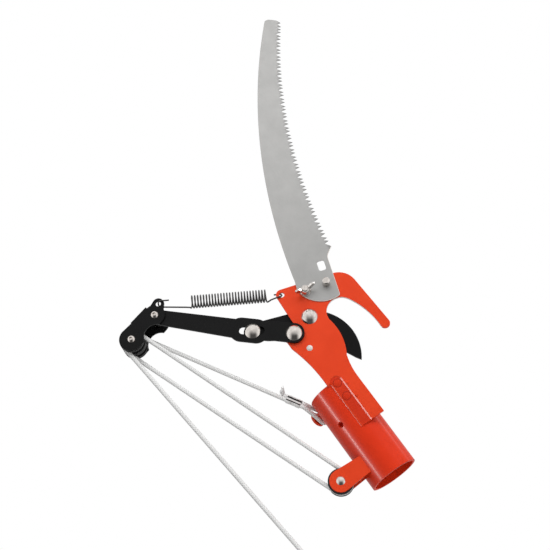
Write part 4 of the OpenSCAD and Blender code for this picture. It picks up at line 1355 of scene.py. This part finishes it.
    def pull(self) -> None:
        """The pull line, its knot and its hand loop: the free cord of the head."""
        top, foot = mm(*self.pull_run[0]), mm(*self.pull_run[1])
        way = (foot - top).normalized()
        side = way.cross(Vector((0, 1, 0))).normalized()
        third = way.cross(side)
        end = foot + way * self.knot_len * MM
        route = self.straight(top, foot, self.pull_step, self.pull_least)
        line = self.lay("pull_line_braid", route, Body.PULL_ROPE, "pull_line")
        count = self.knot_turns * self.knot_steps
        turns = [foot.lerp(end, share) + self.knot_radius * MM * turned(a, side, third)
                 for share, a in zip(steps(self.knot_margin, 1.0 - self.knot_margin, count),
                                     steps(0.0, math.tau * self.knot_turns, count))]
        knot = self.lay("pull_knot_turns", turns, Body.PULL_ROPE, "pull_knot")
        core = self.lay("pull_knot_core", [foot, foot.lerp(end, 0.5), end], Body.PULL_ROPE)
        centre = end + way * (self.hand_len - self.hand_radius) * MM
        spread = math.radians(self.hand_spread)
        bow = [centre + self.hand_radius * MM * turned(a, way, side)
               for a in steps(-spread, spread, 2 * self.hand_steps)]
        legs = [[end + s * self.leg_gap * MM * side + m * MM * way for m in (0.0, self.hand_leg)]
                for s in (-1, 1)]
        path = self.smooth(legs[0] + bow + legs[1][::-1])
        loop = self.lay("hand_loop_braid", path, Body.PULL_ROPE, "hand_loop")
        2 * self.radius * MM

    def build(self) -> None:
        """Makes the whole rope."""
        self.pull()
        self.strands()
        self.wraps()
        self.anchor()


@dataclass
class Studio:
    """The camera at the photograph's view, a pale floor and soft light."""

    eye: Triple = (-0.144777, -0.965217, -0.163816)
    right: Triple = (0.82487806, 0.08, -0.55962147)
    up: Triple = (0.54256793, -0.39, 0.74398928)
    lens: float = 72.0
    sensor: float = 36.0
    near_clip: float = 0.01
    target: Triple = (-0.02, 0.0, 0.12)
    floor_z: float = -0.3
    floor_size: float = 4.0
    floor_colour: Triple = (0.86, 0.86, 0.855)
    floor_roughness: float = 0.9
    ambient: float = 0.36
    dark_height: Pair = (-0.3, 1.04)
    dark_width: Pair = (0.35, 0.98)
    dark_depth: float = 0.92
    rear_turn: Pair = (-0.15, 0.35)
    rear_height: Pair = (-0.75, 0.45)
    rear_depth: float = 0.6
    strips: list[bpy.types.Object] = field(default_factory=list)

    def camera(self) -> None:
        """The camera."""
        data = bpy.data.cameras.new("photo_camera")
        data.lens, data.sensor_width, data.sensor_fit = self.lens, self.sensor, "HORIZONTAL"
        data.clip_start = self.near_clip
        right, up = Vector(self.right), Vector(self.up)
        turn = Matrix((right, up, right.cross(up))).transposed().to_4x4()
        camera = bpy.data.objects.new("photo_camera", data)
        camera.matrix_world = Matrix.Translation(Vector(self.eye)) @ turn
        bpy.context.scene.collection.objects.link(camera)
        bpy.context.scene.camera = camera

    def lamp(self, name: str, place: Triple, size: Pair, power: float, gloss: bool = False) -> None:
        """A light that faces the head: soft light, or a strip that only shows as a highlight.

        Args:
            name: The light's name.
            place: Where it stands, in metres.
            size: Its width and height.
            power: Its power in watts.
            gloss: Whether it is a strip for highlights.
        """
        data = bpy.data.lights.new(name, "AREA")
        data.shape, data.size, data.size_y, data.energy = "RECTANGLE", *size, power
        lamp = bpy.data.objects.new(name, data)
        aim = (Vector(self.target) - Vector(place)).to_track_quat("-Z", "Y")
        lamp.matrix_world = Matrix.Translation(Vector(place)) @ aim.to_matrix().to_4x4()
        lamp.visible_glossy, lamp.visible_diffuse = gloss, not gloss
        bpy.context.scene.collection.objects.link(lamp)
        if gloss:
            self.strips.append(lamp)

    def sky(self) -> None:
        """A world that lights plainly: white to the camera, and darker low in front and behind to metal."""
        world = bpy.data.worlds.new("studio_world")
        bpy.context.scene.world = world
        world.use_nodes = True
        g = Graph.of_tree(world.node_tree)
        back = next(n for n in world.node_tree.nodes if n.type == "BACKGROUND")
        path = g.node("ShaderNodeLightPath").outputs
        way = g.node("ShaderNodeTexCoord").outputs["Generated"]

        def along(axis: Sequence[float]) -> Value:
            """How far a direction goes along an axis."""
            return Value(g, g.node("ShaderNodeVectorMath", {"operation": "DOT_PRODUCT"},
                                   {0: way, 1: tuple(axis)}).outputs["Value"])

        rear = along((0.0, 1.0, 0.0)).ramp(*self.rear_turn)
        low = 1.0 - along(self.up).ramp(*self.dark_height)
        middle = 1.0 - along(self.right).size().ramp(*self.dark_width)
        front = 1.0 - low * middle * self.dark_depth
        behind = 1.0 - (1.0 - along((0.0, 0.0, 1.0)).ramp(*self.rear_height)) * self.rear_depth
        shiny = Value(g, path["Is Glossy Ray"]) * (front + rear * (behind - front) - self.ambient)
        seen = Value(g, path["Is Camera Ray"]).most(Value(g, path["Is Transmission Ray"]))
        g.feed(back.inputs["Strength"], (shiny + self.ambient).most(seen))
        back.inputs["Color"].default_value = (1.0, 1.0, 1.0, 1.0)

    def floor(self) -> None:
        """A plain pale floor below the head."""
        bm = bmesh.new()
        bmesh.ops.create_grid(bm, x_segments=2, y_segments=2, size=self.floor_size,
                              matrix=Matrix.Translation((0, 0, self.floor_z)))
        pale = Graph("pale_floor").finish(Base_Color=self.floor_colour, Roughness=self.floor_roughness)
        floor = Shaper.settle(bm, "studio_floor", Shaper.soft_angle, pale)
        floor.visible_glossy = False

    def highlight(self, *finishes: bpy.types.Material) -> None:
        """Lets the strips show on the pieces of some finishes alone, so that bright metal stays plain.

        Args:
            finishes: The finishes that the strips show on.
        """
        dressed = bpy.data.collections.new("highlighted_pieces")
        for thing in bpy.context.scene.objects:
            if thing.type == "MESH" and any(f.name in thing.data.materials for f in finishes):
                dressed.objects.link(thing)
        for strip in self.strips:
            strip.light_linking.receiver_collection = dressed

    def build(self) -> None:
        """Sets up the camera, the light and the floor."""
        self.camera()
        self.sky()
        self.floor()
        self.lamp("key_light", (0.2, -1.25, 1.15), (1.1, 1.1), 13.4)
        self.lamp("fill_light", (1.1, -0.9, 0.4), (1.0, 1.0), 7.0)
        self.lamp("back_light", (0.3, 1.2, 0.9), (1.2, 1.2), 8.0)
        self.lamp("left_strip", (-0.96, -0.37, 0.3), (0.1, 0.3), 9.0, True)
        self.lamp("right_strip", (0.95, 0.1, 0.36), (0.1, 0.36), 1.6, True)
        bpy.context.scene.view_settings.view_transform = "Standard"


def main() -> None:
    """Builds the sub-assemblies in order."""
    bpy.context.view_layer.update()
    studio = Studio()
    studio.build()
    shaper = Shaper(Finishes())
    RopeWork(shaper).build()
    SheetWork(shaper).build()
    ReturnSpring(shaper).build()
    studio.highlight(shaper.finishes.red, shaper.finishes.red_tube_shade, shaper.finishes.wing)


if __name__ == "__main__":
    main()
